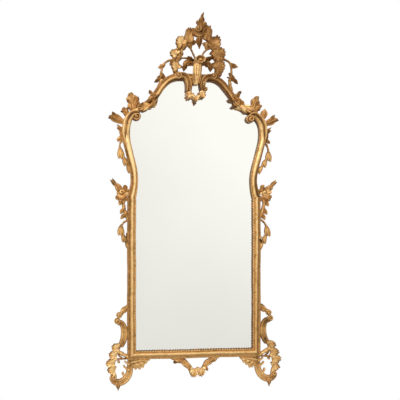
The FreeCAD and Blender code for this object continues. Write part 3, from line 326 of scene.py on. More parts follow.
def moulding(bead_start, bead_end, cove, crown, sight, swell=BEAD_SWELL):
    """Section of the moulding: outer side, lip, cove, step, bead, hollow, sight edge and its wall,
    rebate and its wall, back. Given are where the bead starts and ends, the relief of the cove, the bead
    and the sight edge, and how far the bead swells. Each face is a curve from one corner to the next,
    drawn towards the place between them. Each point has a share of the half face, a height, a relief,
    its gilding and its share in the tips. The relief also paints light: the crown of the bead is a
    painted highlight, and the wall of the sight edge is painted dark, painted shade on the lip."""
    hollow_end = bead_end + HOLLOW_share * (1 - bead_end)
    sight_crown = hollow_end + SIGHT_CROWN_share * (1 - hollow_end)
    # Corners and the places between them: share of the half face, height over the back
    places = (
        (-1, 0), (-1, 0.009), (-1, SIDE_HEIGHT), (-0.97, 0.0205), (-0.88, 0.0212),
        (bead_start - 0.22, 0.0218), (bead_start - 0.05, 0.03), (bead_start - 0.02, 0.0315),
        (bead_start, BEAD_HEIGHT), ((bead_start + bead_end) / 2, BEAD_HEIGHT + swell),
        (bead_end, BEAD_HEIGHT), (bead_end + 0.07, 0.0275), (hollow_end, 0.029), (sight_crown, 0.035),
        (1, 0.0262), (1, 0.018), (1, REBATE_DEPTH), (0.78, REBATE_DEPTH), (REBATE_share, REBATE_DEPTH),
        (REBATE_share, 0.005), (REBATE_share, 0), (-0.2, 0), (-1, 0))
    # Each face: points, relief at its ends and its middle, tips at its start and end, gilding
    faces = (
        (6, 0.16, 0.24, 0, 0, 1), (4, cove, cove + 0.08, 0, 0, 1), (9, cove, cove - 0.08, 0, 0, 1),
        (3, cove, cove + 0.06, 0, 0, 1), (16, crown - 0.36, crown, 0, 0, 1),
        (8, sight, sight - 0.06, 0, 0, 1), (12, sight, sight + 0.12, 0, 1, 1),
        # Painted shade: the wall of the sight edge gets a fifth to a third of the sight edge's relief.
        (5, sight * 0.3, sight * 0.2, 1, 0.3, 1), (3, 0.1, 0.1, 0, 0, 1), (3, 0.1, 0.1, 0, 0, 0),
        (6, 0.3, 0.3, 0, 0, 0))
    rows = []
    for number, (count, low, high, first_tip, last_tip, gilt) in enumerate(faces):
        start, middle, end = np.array(places[2 * number:2 * number + 3])
        t = np.linspace(0, 1, count, endpoint=False)[:, None]
        line = (1 - t) ** 2 * start + 2 * t * (1 - t) * middle + t**2 * end
        relief_and_shading = low + (high - low) * np.sin(math.pi * t)
        tips = first_tip + (last_tip - first_tip) * t
        rows.append(np.hstack([line, relief_and_shading, np.full_like(t, gilt), tips]))
    section = np.concatenate(rows)
    # An even number of points, so that the ends can be zipped up
    return section[: len(section) // 2 * 2]


TIP_PITCH = 0.0118
TIP_POWER = 0.55
TIP_FALL_share = 0.8
NOTCH_PAINTED_SHADE = 0.7
NARROWING_RUN = 0.06
UNEVEN_WAVES = ((0.0014, 61), (0.0011, 137))
WANDER_WAVES = ((0.0005, 23), (0.0003, 71))


def waves(run, sizes_and_rates):
    """Sum of sines of the run, each of a size and a rate."""
    return sum(size * np.sin(run * rate) for size, rate in sizes_and_rates)[:, None]


def rail(points, normals, cut, sections, change=(0, 1), narrowing=0):
    """Moulding carried along a line: at each station a section is laid square to it, and its sight edge
    is drawn back between the tips by a cut times 1 - |sin| of the run. Over a stretch of the run it
    changes from the first of two sections to the second. Its face may narrow near its start. The
    notches between the tips are painted darker: painted shade."""
    run = length_along(points)
    changed = np.clip((run - change[0]) / (change[1] - change[0]), 0, 1)[:, None, None]
    changed = changed ** 2 * (3 - 2 * changed)
    first, last = (moulding(*values) for values in sections)
    section = last + (1 - changed) * (first - last)
    uneven = run[:, None] + waves(run, UNEVEN_WAVES)
    tip = np.abs(np.sin(math.pi * uneven / TIP_PITCH)) ** TIP_POWER
    face = HALF_FACE * (1 - narrowing * np.clip(run / NARROWING_RUN, 0, 1)[:, None])
    notch = section[..., 4] * (1 - tip)
    across = section[..., 0] * face - notch * cut + waves(run, WANDER_WAVES)
    lift = section[..., 1] - notch * cut * TIP_FALL_share
    flat = points[:, None] + normals[:, None] * across[..., None]
    # Painted shade: the notches between the tips are darkened.
    relief_and_shading = section[..., 2] * (1 - NOTCH_PAINTED_SHADE * notch)
    return in_space(flat, BOARD_DEPTH + lift), relief_and_shading, section[..., 3]


SIDES = {"left": 1, "right": -1}
# Values of the two mouldings of each rail, at its start and further on
SILL_SECTIONS = ((-0.12, 0.54, 0.54, 0.76, 0.44),) * 2
STILE_SECTIONS = {
    "left": ((-0.32, 0.42, 0.3, 0.72, 0.44), (-0.28, 0.44, 0.28, 0.78, 0.44)),
    "right": ((0, 0.62, 0.42, 0.62, 0.42), (-0.26, 0.4, 0.36, 0.8, 0.5)),
}
SHOULDER_SECTIONS = {
    "left": ((-0.28, 0.48, 0.24, 0.82, 0.46), (-0.46, 0.76, 0.22, 1, 0.5)),
    "right": ((-0.04, 0.74, 0.2, 0.8, 0.46), (-0.46, 0.72, 0.4, 0.88, 0.46)),
}
# Along most of each arch the sight edge gets next to no relief, which paints it near black: painted
# shadow under the arch. The right arch's lower crowns paint it darker than the left: painted shade.
ARCH_SECTIONS = {
    "left": ((-0.14, 0.54, 0.24, 0.76, 0.4, FLAT_SWELL), (-0.24, 0.62, 0.26, 0.56, 0.04)),
    "right": ((-0.2, 0.6, 0.3, 0.56, 0.02, FLAT_SWELL), (-0.2, 0.6, 0.22, 0.4, -0.06)),
}
SILL_CUT = 0.0048
STILE_CUT = 0.0024
SHOULDER_CUT = 0.0005
ARCH_CUTS = {"left": 0.001, "right": 0.0014}
STILE_CHANGE = (0.06, 0.6)
SHOULDER_CHANGE = (0.03, 0.2)
ARCH_CHANGE = (0.12, 0.24)
SHOULDER_NARROWING_share = 0.18
ARCH_NARROWING_share = 0.14
STILE_STATIONS = 420
SILL_STATIONS = 460
CURVE_STATIONS = 300
JOINT_STEP = 0.0003
FRAME_BOTTOM_ROW_px = 358.2
STILE_TOP_ROW_px = 197
SHOULDER_INSET_px = 4.3
JOINT_SLANT_px = 0.9
HEAD_JOINT_px = (196.2, 78)
SHOULDER_px = {
    "left": ((133.2, 189), (134.3, 180), (132.9, 166), (129.5, 152), (126.8, 139),
             (126.4, 127.5), (128.5, 119), (131.4, 114.4), (135.2, 111.4)),
    "right": ((254.8, 191), (253.7, 181.5), (255.6, 168), (259.2, 154), (262.1, 141),
              (262.5, 130.5), (260.3, 122.8), (256.9, 118.4), (253, 115.6)),
}
ARCH_px = {
    "left": ((132.4, 109.8), (141, 106.4), (147.3, 103.4), (152.6, 98.7), (157.4, 92),
             (162.9, 84.6), (168.6, 79.5), (175.3, 77), (184, 76.6)),
    "right": ((257, 114.4), (249, 111.6), (242.6, 108.6), (237, 103.4), (232, 96.8),
              (226.3, 89.2), (220.5, 82.6), (213.5, 78.9), (206, 78)),
}

sill_line = spot((VIEW_COLUMN_px, FRAME_BOTTOM_ROW_px))[1] + HALF_FACE
stile_top = spot((VIEW_COLUMN_px, STILE_TOP_ROW_px))[1]
stile_line = FRAME_WIDTH / 2 - HALF_FACE

for side, turn in SIDES.items():
    climb = np.linspace(sill_line, stile_top, STILE_STATIONS)
    points = np.stack([np.full(STILE_STATIONS, -turn * stile_line), climb], 1)
    inward = np.tile((float(turn), 0.0), (STILE_STATIONS, 1))
    stile = rail(points, inward, STILE_CUT, STILE_SECTIONS[side], STILE_CHANGE)
    mitre = (stile[0][..., 0] + turn * stile_line) * turn
    stile[0][..., 2] += np.linspace(1, 0, STILE_STATIONS)[:, None] * mitre
    gilded_piece(f"{side}_stile_gilded", [stile], f"{side}_stile")

columns = np.linspace(-stile_line, stile_line, SILL_STATIONS)
points = np.stack([columns, np.full(SILL_STATIONS, sill_line)], 1)
sill = rail(points, np.tile((0.0, 1.0), (SILL_STATIONS, 1)), SILL_CUT, SILL_SECTIONS)
mitre = sill[0][..., 2] - sill_line
sill[0][..., 0] -= np.linspace(-1, 1, SILL_STATIONS)[:, None] * mitre
gilded_piece("bottom_rail_gilded", [sill], "bottom_rail")

for side, turn in SIDES.items():
    foot_px = (STILE_OUTER_COLUMNS_px[side] + turn * SHOULDER_INSET_px,
               STILE_TOP_ROW_px - turn * JOINT_SLANT_px)
    points, _, normals = line_through([foot_px, *SHOULDER_px[side]], CURVE_STATIONS)
    shoulder = rail(points, -turn * normals, SHOULDER_CUT, SHOULDER_SECTIONS[side], SHOULDER_CHANGE,
                    SHOULDER_NARROWING_share)
    shoulder[0][..., 1] -= JOINT_STEP
    gilded_piece(f"{side}_shoulder_rail_gilded", [shoulder], f"{side}_shoulder_rail")
    points, _, normals = line_through([*ARCH_px[side], HEAD_JOINT_px], CURVE_STATIONS)
    arch = rail(points, -turn * normals, ARCH_CUTS[side], ARCH_SECTIONS[side], ARCH_CHANGE,
                ARCH_NARROWING_share)
    gilded_piece(f"{side}_arch_rail_gilded", [arch], f"{side}_arch_rail")


# Carvings: limewood leaves, shells, husks and scrolls, carved apart and glued to the rails, then
# gilded with them. Depths are counted forward from the wall: the side carvings lie behind the rails'
# fronts, the overlays lie on them.

# Back and front of each layer
LAYERS = {"side": (0.01, 0.028), "crest": (0.01, 0.034), "stem": (0.01, 0.022),
          "over": (0.0164, 0.06), "knot": (0.0164, 0.058)}
LAYING_STEP = 0.0003
QUARTERS = 4
LINE_STATIONS = 80
LEAF_STATIONS = 24
LOBE_STATIONS = 16
RIB_STATIONS = 10
ACROSS = 27
REAR_GILT = 0.25
EDGE_GILT = 0.7
REAR_RELIEF = 0.04
LEAST_WIDTH_px = 0.3
LEAF_shares = (0.42, 1, 0.86, 0.05)
HUSK_shares = (0.22, 0.74, 1, 0.94)


def along_values(values, u):
    """Smooth value at a share u of the way along evenly spaced values (one polynomial through all)."""
    last = len(values) - 1
    total = np.zeros_like(u)
    for i, value in enumerate(values):
        others = [j for j in range(len(values)) if j != i]
        total = total + value * np.prod([(u * last - j) / (i - j) for j in others], axis=0)
    return total


def laid_on(places_px, reach, across):
    """Places that lie a share of a line's length along it, and a distance to its left. Before the
    line's start they go straight on backwards."""
    points, tangents, normals = line_through(places_px, LINE_STATIONS)
    share = np.linspace(0, 1, LINE_STATIONS)
    inside = np.clip(reach, 0, 1)

    def at(values):
        return np.stack([np.interp(inside, share, values[:, i]) for i in range(2)], -1)

    beyond = (reach - inside) * length_along(points)[-1]
    return at(points) + at(tangents) * beyond[..., None] + at(normals) * across[..., None]


def grid(along, across, start=0):
    """Shares along a form up to 1, as a column, and shares across it from -1 to 1, as a row."""
    return np.linspace(start, 1, along)[:, None], np.linspace(-1, 1, across)[None, :]


def ridge(values, middle, width):
    """Bell curve over values, which is 1 at its middle."""
    return np.exp(-((values - middle) / width) ** 2)


def closed_form(layer, flat, thickness, relief_and_shading):
    """Closed carving in a layer: its front is an outline grid, brought forward by shares of the layer's
    thickness, and its flat rear is the same grid at the layer's back."""
    back, top = LAYERS[layer]
    front = back + (top - back) * thickness
    ring = np.concatenate([in_space(flat, front), in_space(flat[:, ::-1], back)], 1)
    gilt = np.concatenate([np.ones_like(front), np.full_like(front, REAR_GILT)], 1)
    gilt[:, [front.shape[1], -1]] = EDGE_GILT
    relief_and_shading = np.broadcast_to(relief_and_shading, front.shape)
    return ring, np.concatenate([relief_and_shading, np.full_like(front, REAR_RELIEF)], 1), gilt


def leaf(layer, half_width_px, lobes, *places_px,
         curl=0.25, lean=0.8, sides=(1, 1), shares=LEAF_shares, tip=0.22):
    """Acanthus leaf. Across v, from -1 to 1, the edge leans forward by |v|^1.7 half-widths, and each side
    is drawn in between its lobes by a power of |sin|. Each lobe is scooped, with a raised rim and a ridge
    on either side of it; the middle rib is grooved, and the tip turns forward. Its colour is lighter on
    the rims and darker in the scoops and along its very edge: painted highlight and painted shade."""
    u, v = grid(along=LEAF_STATIONS + LOBE_STATIONS * max(lobes, 2), across=ACROSS)
    side = np.abs(v)
    width = half_width_px * PIXEL * np.maximum(along_values(shares, u), 0.05) * np.where(v < 0, *sides)
    phase = lobes * (u - 0.1 * side + 0.04 * np.sign(v))
    wave = np.abs(np.sin(math.pi * phase))
    across = v * width * (1 - 0.46 * (1 - wave ** 0.6) * side ** 1.4) * (1 + 0.1 * np.sin(7 * u + 2 * v))
    length = np.linalg.norm(np.diff(spot(places_px), axis=0), axis=1).sum()
    along = lean * min(1, length / (3.4 * half_width_px * PIXEL)) * width * (side ** 1.7 - 0.25)
    dome = 1 - side ** 2.6
    scoop = (wave - 0.35) * ridge(side, 0.62, 0.3)
    rim = ridge(side, 0.93, 0.1) * wave
    rib = 0.16 * ridge(v, 0, 0.09) - 0.3 * ridge(side, 0.22, 0.1)
    thickness = 0.34 + 0.5 * dome - 0.34 * scoop + 0.16 * rim + rib * (1 - u) ** 0.4
    thickness = thickness * (0.78 + 0.3 * np.sin(math.pi * u)) + curl * u ** 3
    thickness = np.clip(thickness + 0.1 * v * np.sin(math.pi * u), 0.14, 1.1)
    # Painted highlight on the rims, painted shade in the scoops and along the very edge.
    relief_and_shading = 0.49 - 0.56 * scoop + 0.4 * rim + 0.9 * rib + 0.14 * dome + tip * u ** 3 - 0.4 * side ** 10
    return closed_form(layer, laid_on(places_px, u + along / length, across), thickness, relief_and_shading)


def shell(layer, half_width_px, lobes, *places_px, curl=0.24, spread=104, cut=0.13, ribbing=1):
    """Ruffled shell: a fan about the start of a line. At an angle v * spread from the line it reaches out
    to an oval rim, less a cut between its scallops by a power of |sin|. It is a low dome whose ribs swell
    only towards the rim, which turns forward and is painted dark at its very edge: painted shade along
    its outline."""
    ribs = lobes + 3
    u, v = grid(along=34, across=RIB_STATIONS * ribs + 1, start=0.03)
    angle = np.radians(spread) * v
    wave = np.abs(np.sin(math.pi * ribs * (v + 1) / 2 + 0.3 * np.sin(5 * v + half_width_px)))
    rim = 1 - cut * (1 - wave ** 0.6) * u ** 3 + 0.07 * np.sin(4.3 * v + half_width_px * 5)
    reach = u * rim * np.cos(angle)
    across = u * rim * np.sin(angle) * half_width_px * PIXEL
    ruffle = ribbing * (wave ** 0.8 - 0.6) * u ** 1.8
    swirl = np.sin(2.2 * angle + 5 * u + half_width_px * 3)
    thickness = 0.46 + 0.34 * np.sin(math.pi * (0.16 + 0.6 * u)) + 0.2 * ruffle + curl * u ** 6 * wave
    thickness = np.clip(thickness - 0.16 * v ** 2 * u + 0.08 * swirl * u, 0.14, 1.15)
    # Painted shade: the colour darkens at the very edge of the rim.
    relief_and_shading = 0.52 + 0.34 * ruffle + 0.2 * np.sin(math.pi * u) + 0.2 * swirl * u - 0.34 * u ** 9
    return closed_form(layer, laid_on(places_px, reach, across), thickness, relief_and_shading)


def husk(layer, half_width_px, *places_px):
    """Bell-shaped husk of three petals, cut deep between them at its mouth, which flares. Its half-width
    grows along it by a table of shares, and each petal is an arch of |sin| across it."""
    u, v = grid(along=36, across=31)
    wave = np.abs(np.sin(math.pi * 3 * (v + 1) / 2))
    across = v * half_width_px * PIXEL * along_values(HUSK_shares, u) * (1 - 0.1 * (1 - wave) * u)
    reach = u * (1 - 0.18 * u * (1 - wave ** 0.7)) + 0.05 * np.sin(2 * v) * u
    dome = np.sqrt(np.maximum(1 - 0.9 * v ** 2, 0))
    thickness = 0.2 + 0.72 * dome * np.sin(math.pi * (0.15 + 0.6 * u)) + 0.12 * (wave - 0.55) * u
    relief_and_shading = 0.14 + 0.44 * wave * u + 0.26 * dome * np.sin(math.pi * u)
    return closed_form(layer, laid_on(places_px, reach, across), np.maximum(thickness, 0.12), relief_and_shading)


def stem(layer, widths_px, *places_px):
    """Round stem along a line, with its half-widths from end to end and half an ellipse as section. A
    slow sine lends it the unevenness of carving."""
    u, v = grid(along=60, across=19)
    v = np.sin(math.pi / 2 * v)
    ends = np.sqrt(np.clip(np.minimum(u, 1 - u) / 0.05, 0.02, 1))
    width = PIXEL * np.maximum(along_values(widths_px, u), LEAST_WIDTH_px) * ends
    width = width * (1 + 0.1 * np.sin(19 * u))
    dome = np.sqrt(1 - v ** 2)
    thickness = 0.18 + 0.66 * dome * np.maximum(ends, 0.3) * (1 + 0.06 * np.sin(23 * u))
    relief_and_shading = 0.22 + 0.46 * dome + 0.12 * np.sin(23 * u + v)
    return closed_form(layer, laid_on(places_px, u + 0 * v, v * width), thickness, relief_and_shading)


def band(layer, widths_px, *places_px, rise=0.1, lead=0.05, hollow=0):
    """Scroll band along a line: a channel between two raised rims, the one on its right the stronger. Its
    half-widths go from end to end. It swells over a lead at its start, and rises forward along its way.
    A hollow darkens the channel."""
    u, v = grid(along=70, across=ACROSS)
    v = np.sin(math.pi / 2 * v)
    ends = np.sqrt(np.clip(np.minimum(u / lead, (1 - u) / 0.05), 0.02, 1))
    width = PIXEL * np.maximum(along_values(widths_px, u), LEAST_WIDTH_px) * ends
    rims = ridge(v, -0.66, 0.24) + 0.85 * ridge(v, 0.66, 0.24)
    middle = ridge(v, 0, 0.2)
    fall = np.sqrt(1 - v ** 2)
    thickness = 0.4 + 0.26 * fall + 0.28 * rims * fall + 0.06 * middle
    thickness = thickness * np.maximum(ends, 0.3) + rise * u
    relief_and_shading = 0.28 + 0.36 * rims * fall ** 0.5 + 0.1 * middle - 0.14 * np.sin(9 * u)
    relief_and_shading = relief_and_shading - hollow * ridge(v, 0, 0.3)
    return closed_form(layer, laid_on(places_px, u + 0 * v, v * width), thickness, relief_and_shading)


def stack(rings, around):
    """Shares of the way up a stack of rings, as a column, and angles round them, as a row."""
    angles = np.linspace(0, 2 * math.pi, around, endpoint=False)
    return np.linspace(0, 1, rings)[:, None], angles[None, :]


def boss(layer, radius_px, place_px, turns=1.5, hand=1):
    """Eye of a scroll: a round dome with a spiral groove. It is a stack of rings: the first of them climb
    the wall, the rest close in by the cosine of their share of the way."""
    back, top = LAYERS[layer]
    wall_share = 0.2
    share, angle = stack(rings=30, around=48)
    climb = np.clip((share - wall_share) / (1 - wall_share), 0, 1) * math.pi / 2
    radius = radius_px * PIXEL * (np.cos(climb) + 0.02)
    spiral = np.cos(hand * angle + 2 * math.pi * turns * np.cos(climb))
    rise = np.minimum(share * 2.2, 0.44) + 0.42 * np.sin(climb) + 0.09 * spiral * (share > wall_share)
    flat = spot(place_px) + np.stack([radius * np.cos(angle), radius * np.sin(angle)], -1)
    relief_and_shading = np.where(share < wall_share, 0.16, 0.46 + 0.3 * spiral)
    return in_space(flat, back + (top - back) * rise), relief_and_shading, np.where(share < 0.03, 0.3, 1)


# Values in a row: the form, its layer, its half-width, the lobes of a leaf or a shell, and its places. A
# stem or a band has half-widths from end to end. A boss has a radius, a place, and may have turns and
# a hand.
FORMS = {"leaf": leaf, "shell": shell, "husk": husk, "stem": stem, "band": band, "boss": boss}


def carve(table_px):
    """Pieces of a table, each out of its forms, in place of the solid of the same name. A row of the
    table is a form with its values, and may end in named ones. A shade lowers the relief of the whole
    form, which paints it darker, or lighter where the shade is negative. Each form is laid a step in
    front of the one before it, and pieces that follow each other start at different quarters of a step."""
    for order, (node, forms) in enumerate(table_px.items()):
        patches = []
        for number, (form, *values) in enumerate(forms):
            options = dict(values.pop()) if isinstance(values[-1], dict) else {}
            shade = options.pop("shade", 0)
            points, relief_and_shading, gilt = FORMS[form](*values, **options)
            points[..., 1] -= LAYING_STEP * (number + order % QUARTERS / QUARTERS)
            patches.append((points, relief_and_shading - shade, gilt))
        gilded_piece(f"{node}_carved", patches, node)


CREST_CARVINGS_px = {
    "left_crest_shells": [
        ("band", "stem", (2.4, 3.6, 3, 2.6), (194, 36), (182.6, 45.5), (175.8, 57), (177, 76)),
        ("shell", "crest", 4.7, 3, (189.4, 42.6), (189.2, 34), (189.4, 26),
         {"spread": 84, "shade": 0.24, "ribbing": 0.6}),
        ("shell", "crest", 5.8, 3, (182.6, 44), (180.4, 41.2), (176.6, 36.8)),
        ("shell", "crest", 5, 3, (176.8, 54.4), (174.4, 52.4), (170.8, 49.8)),
        ("shell", "crest", 5.4, 3, (177.6, 68.4), (175.8, 66), (172.4, 61.6)),
        ("boss", "crest", 1.6, (174, 58.3)),
        ("leaf", "crest", 2.6, 2, (186.6, 41), (185, 45.5), (183, 49)),
        ("leaf", "crest", 2.4, 2, (177.6, 61.5), (179.4, 58), (180, 53.8))],
    "right_crest_shells": [
        ("band", "crest", (2.4, 4, 4.4, 3.4), (204, 35), (213.8, 44.5), (218.8, 58), (217.6, 77.5),
         {"shade": 0.16, "rise": 0}),
        ("shell", "crest", 5.4, 3, (206.8, 40.6), (208.2, 33), (209, 26.4),
         {"spread": 84, "shade": 0.34, "ribbing": 0.5}),
        ("shell", "crest", 6.2, 4, (213.2, 46.6), (216.4, 41.6), (220, 36.8),
         {"shade": 0.28, "ribbing": 0.6}),
        ("shell", "crest", 7.4, 5, (215.6, 57.4), (219.6, 54.4), (225.2, 50.4),
         {"shade": 0.3, "cut": 0.08, "ribbing": 0.4}),
        ("shell", "crest", 7.6, 5, (215.6, 69.6), (219.4, 67.2), (224.6, 64.2),
         {"shade": 0.3, "cut": 0.08, "ribbing": 0.4}),
        ("leaf", "crest", 2.4, 2, (209, 42), (211.6, 45.8), (212.4, 50)),
        ("leaf", "crest", 2.2, 2, (217.6, 62), (215.4, 59), (214.2, 55.6))],
    "crest_finial": [
        ("leaf", "crest", 4, 3, (201.6, 33), (201.8, 26), (202, 19), FINIAL_TIP_px,
         {"shares": (0.95, 1, 0.62, 0.04), "lean": 0.5, "shade": 0.1, "tip": -0.3}),
        ("leaf", "crest", 1.6, 1, (200.2, 26), (198.4, 23), (197, 20)),
        ("leaf", "crest", 1.7, 1, (203.4, 27.5), (205, 25), (205.8, 21.6)),
        ("leaf", "crest", 2.4, 2, (202.6, 33.4), (205.4, 29.4), (207.8, 25.2), {"shade": 0.2}),
        ("boss", "over", 3.2, (198, 29.2)),
        ("band", "crest", (1.5, 2.4, 2.3, 1.6), (192.8, 27.2), (195.2, 33.2), (201.2, 34.2),
         (206.6, 30.2), {"shade": 0.06})],
    "crest_pendant_leaf": [
        ("leaf", "crest", 3.4, 1, (199.4, 33.6), (199.6, 41), (199.6, 48.6),
         {"shares": (1, 1.06, 0.6, 0.04), "lean": 0.2, "shade": 0.12, "tip": -0.8})],
    "left_vase_leaf": [
        ("leaf", "crest", 3.4, 2, (195.6, 65.4), (189.8, 62.4), (186, 64), (184.2, 70.8),
         {"lean": 0.4, "tip": -0.7}),
        ("leaf", "crest", 2.2, 2, (194.6, 60.4), (191.2, 58.8), (187.8, 56), {"shade": 0.55})],
    "right_vase_leaf": [
        ("leaf", "crest", 3.4, 2, (200.6, 65.8), (206, 63), (209.6, 65.2), (210.6, 71.6),
         {"lean": 0.4, "tip": -0.5}),
        ("leaf", "crest", 2.4, 2, (203.4, 61), (208, 58.8), (214, 57.2), {"shade": 0.4})],
    "left_crest_stems": [
        ("stem", "stem", (0.9, 0.9, 0.9), (196, 59), (193, 52), (190.6, 47), {"shade": 0.3}),
        ("leaf", "stem", 3.4, 2, (191.2, 48.6), (190.2, 44.4), (188, 40), {"shade": 0.16}),
        ("leaf", "stem", 2.4, 1, (189.6, 44.4), (193, 42.2), (197.4, 41.2),
         {"shade": 0.16, "lean": 0.2}),
        ("stem", "stem", (0.9, 0.9, 0.8), (195.5, 60), (186, 57.4), (176, 58.4), {"shade": 0.3}),
        ("leaf", "stem", 1.8, 1, (181, 57.8), (181.4, 54.6), (183.4, 51.4))],
    "right_crest_stems": [
        ("stem", "stem", (0.9, 0.9, 0.9), (201.8, 59), (205, 51.2), (213.5, 47.2), {"shade": 0.3}),
        ("leaf", "stem", 3, 2, (206.4, 50), (207.4, 45.6), (209.4, 41.4)),
        ("leaf", "stem", 2.2, 1, (208.6, 46.6), (205.8, 44.2), (202.6, 42.6), {"lean": 0.2}),
        ("boss", "stem", 1.9, (206.6, 44.2), {"shade": -0.16}),
        ("stem", "stem", (1, 1.2, 1), (202.5, 60.5), (210, 58.8), (217, 56.5), {"shade": 0.3})],
    "left_crest_scroll": [
        ("band", "over", (2.4, 3.2, 3.3, 2.6), (176.6, 75.6), (184.8, 76.2), (188.2, 82), (187.6, 93),
         {"shade": 0.02, "hollow": 0.24}),
        ("leaf", "knot", 1.5, 1, (192.8, 73.6), (192.4, 79), (192.6, 84.4), {"shade": -0.2}),
        ("boss", "over", 3.6, (178.2, 75.4))],
    "right_crest_scroll": [
        ("band", "over", (2.2, 2.9, 2.9, 2.2), (213.8, 77.4), (206, 78), (202.2, 83), (203.2, 92),
         {"shade": 0.06, "hollow": 0.24}),
        ("leaf", "knot", 1.4, 1, (200.6, 74.4), (199.6, 79.4), (198.8, 84), {"shade": -0.2}),
        ("boss", "over", 3.2, (213.2, 76.8))],
    "pendant_wreath": [
        ("stem", "over", (1.8, 1.9, 1.8), (188.6, 91), (195.4, 98.2), (202.4, 90.5), {"shade": -0.1}),
        ("leaf", "over", 2, 1, (188.6, 87.2), (189.2, 91), (189, 95), {"shade": -0.34}),
        ("shell", "over", 3.6, 2, (190, 93.4), (188.8, 96), (187.2, 99.6), {"shade": -0.1}),
        ("leaf", "over", 0.8, 1, (193.8, 97.6), (194.2, 101.2), (195.2, 104.6), {"tip": -0.6}),
        ("shell", "over", 3.3, 2, (195.8, 96.4), (196, 98.8), (196.4, 102.2), {"shade": -0.06}),
        ("shell", "over", 3.3, 2, (201, 93), (202.2, 95.4), (203.8, 98.8), {"shade": -0.08}),
        ("leaf", "over", 2.8, 2, (201, 87.8), (203.4, 89), (206.6, 90.8), {"shade": -0.2}),
        ("boss", "over", 2.3, (203.2, 84), {"shade": -0.34})],
    "left_spray": [
        ("stem", "stem", (1, 1.1, 1.1, 1.2), (173, 58.6), (164.6, 62.6), (161.8, 70), (161, 80),
         {"shade": 0.26}),
        ("stem", "stem", (1, 0.9, 0.5), (173, 59), (171, 61.5), (170.6, 65), {"shade": 0.4}),
        ("leaf", "stem", 2.4, 1, (165.4, 63), (162, 65.6), (158.2, 66.2), {"lean": 0.2}),
        ("leaf", "stem", 2.5, 2, (164, 73), (160.4, 76.8), (154.4, 81.4),
         {"lean": 0.3, "shade": 0.24, "tip": -0.4}),
        ("leaf", "stem", 2, 1, (161.6, 71.6), (164, 76.6), (166.2, 81.4),
         {"lean": 0.2, "shade": 0.24}),
        ("stem", "stem", (2.2, 2, 1.4), (162.6, 78), (158.8, 87.4), (155.2, 96.4), {"shade": 0.1})],
    "right_spray": [
        ("stem", "stem", (1, 1.1, 1.1, 1.2), (222.5, 59), (230.4, 63), (232, 71), (230, 82),
         {"shade": 0.26}),
        ("leaf", "stem", 2.4, 1, (229.8, 62.6), (233.6, 65.6), (238.4, 67.2),
         {"lean": 0.2, "shade": 0.1}),
        ("leaf", "stem", 2.6, 2, (229.4, 73), (233, 78), (238.2, 84.2),
         {"lean": 0.3, "shade": 0.26, "tip": -0.4}),
        ("stem", "stem", (1.1, 0.9, 0.5), (231.4, 78.5), (229, 77.6), (227.4, 77), {"shade": 0.3}),
        ("stem", "stem", (1.6, 1.6, 1.2), (230.4, 79), (230.6, 85), (233, 91), {"shade": 0.16})],
}
carve(CREST_CARVINGS_px)

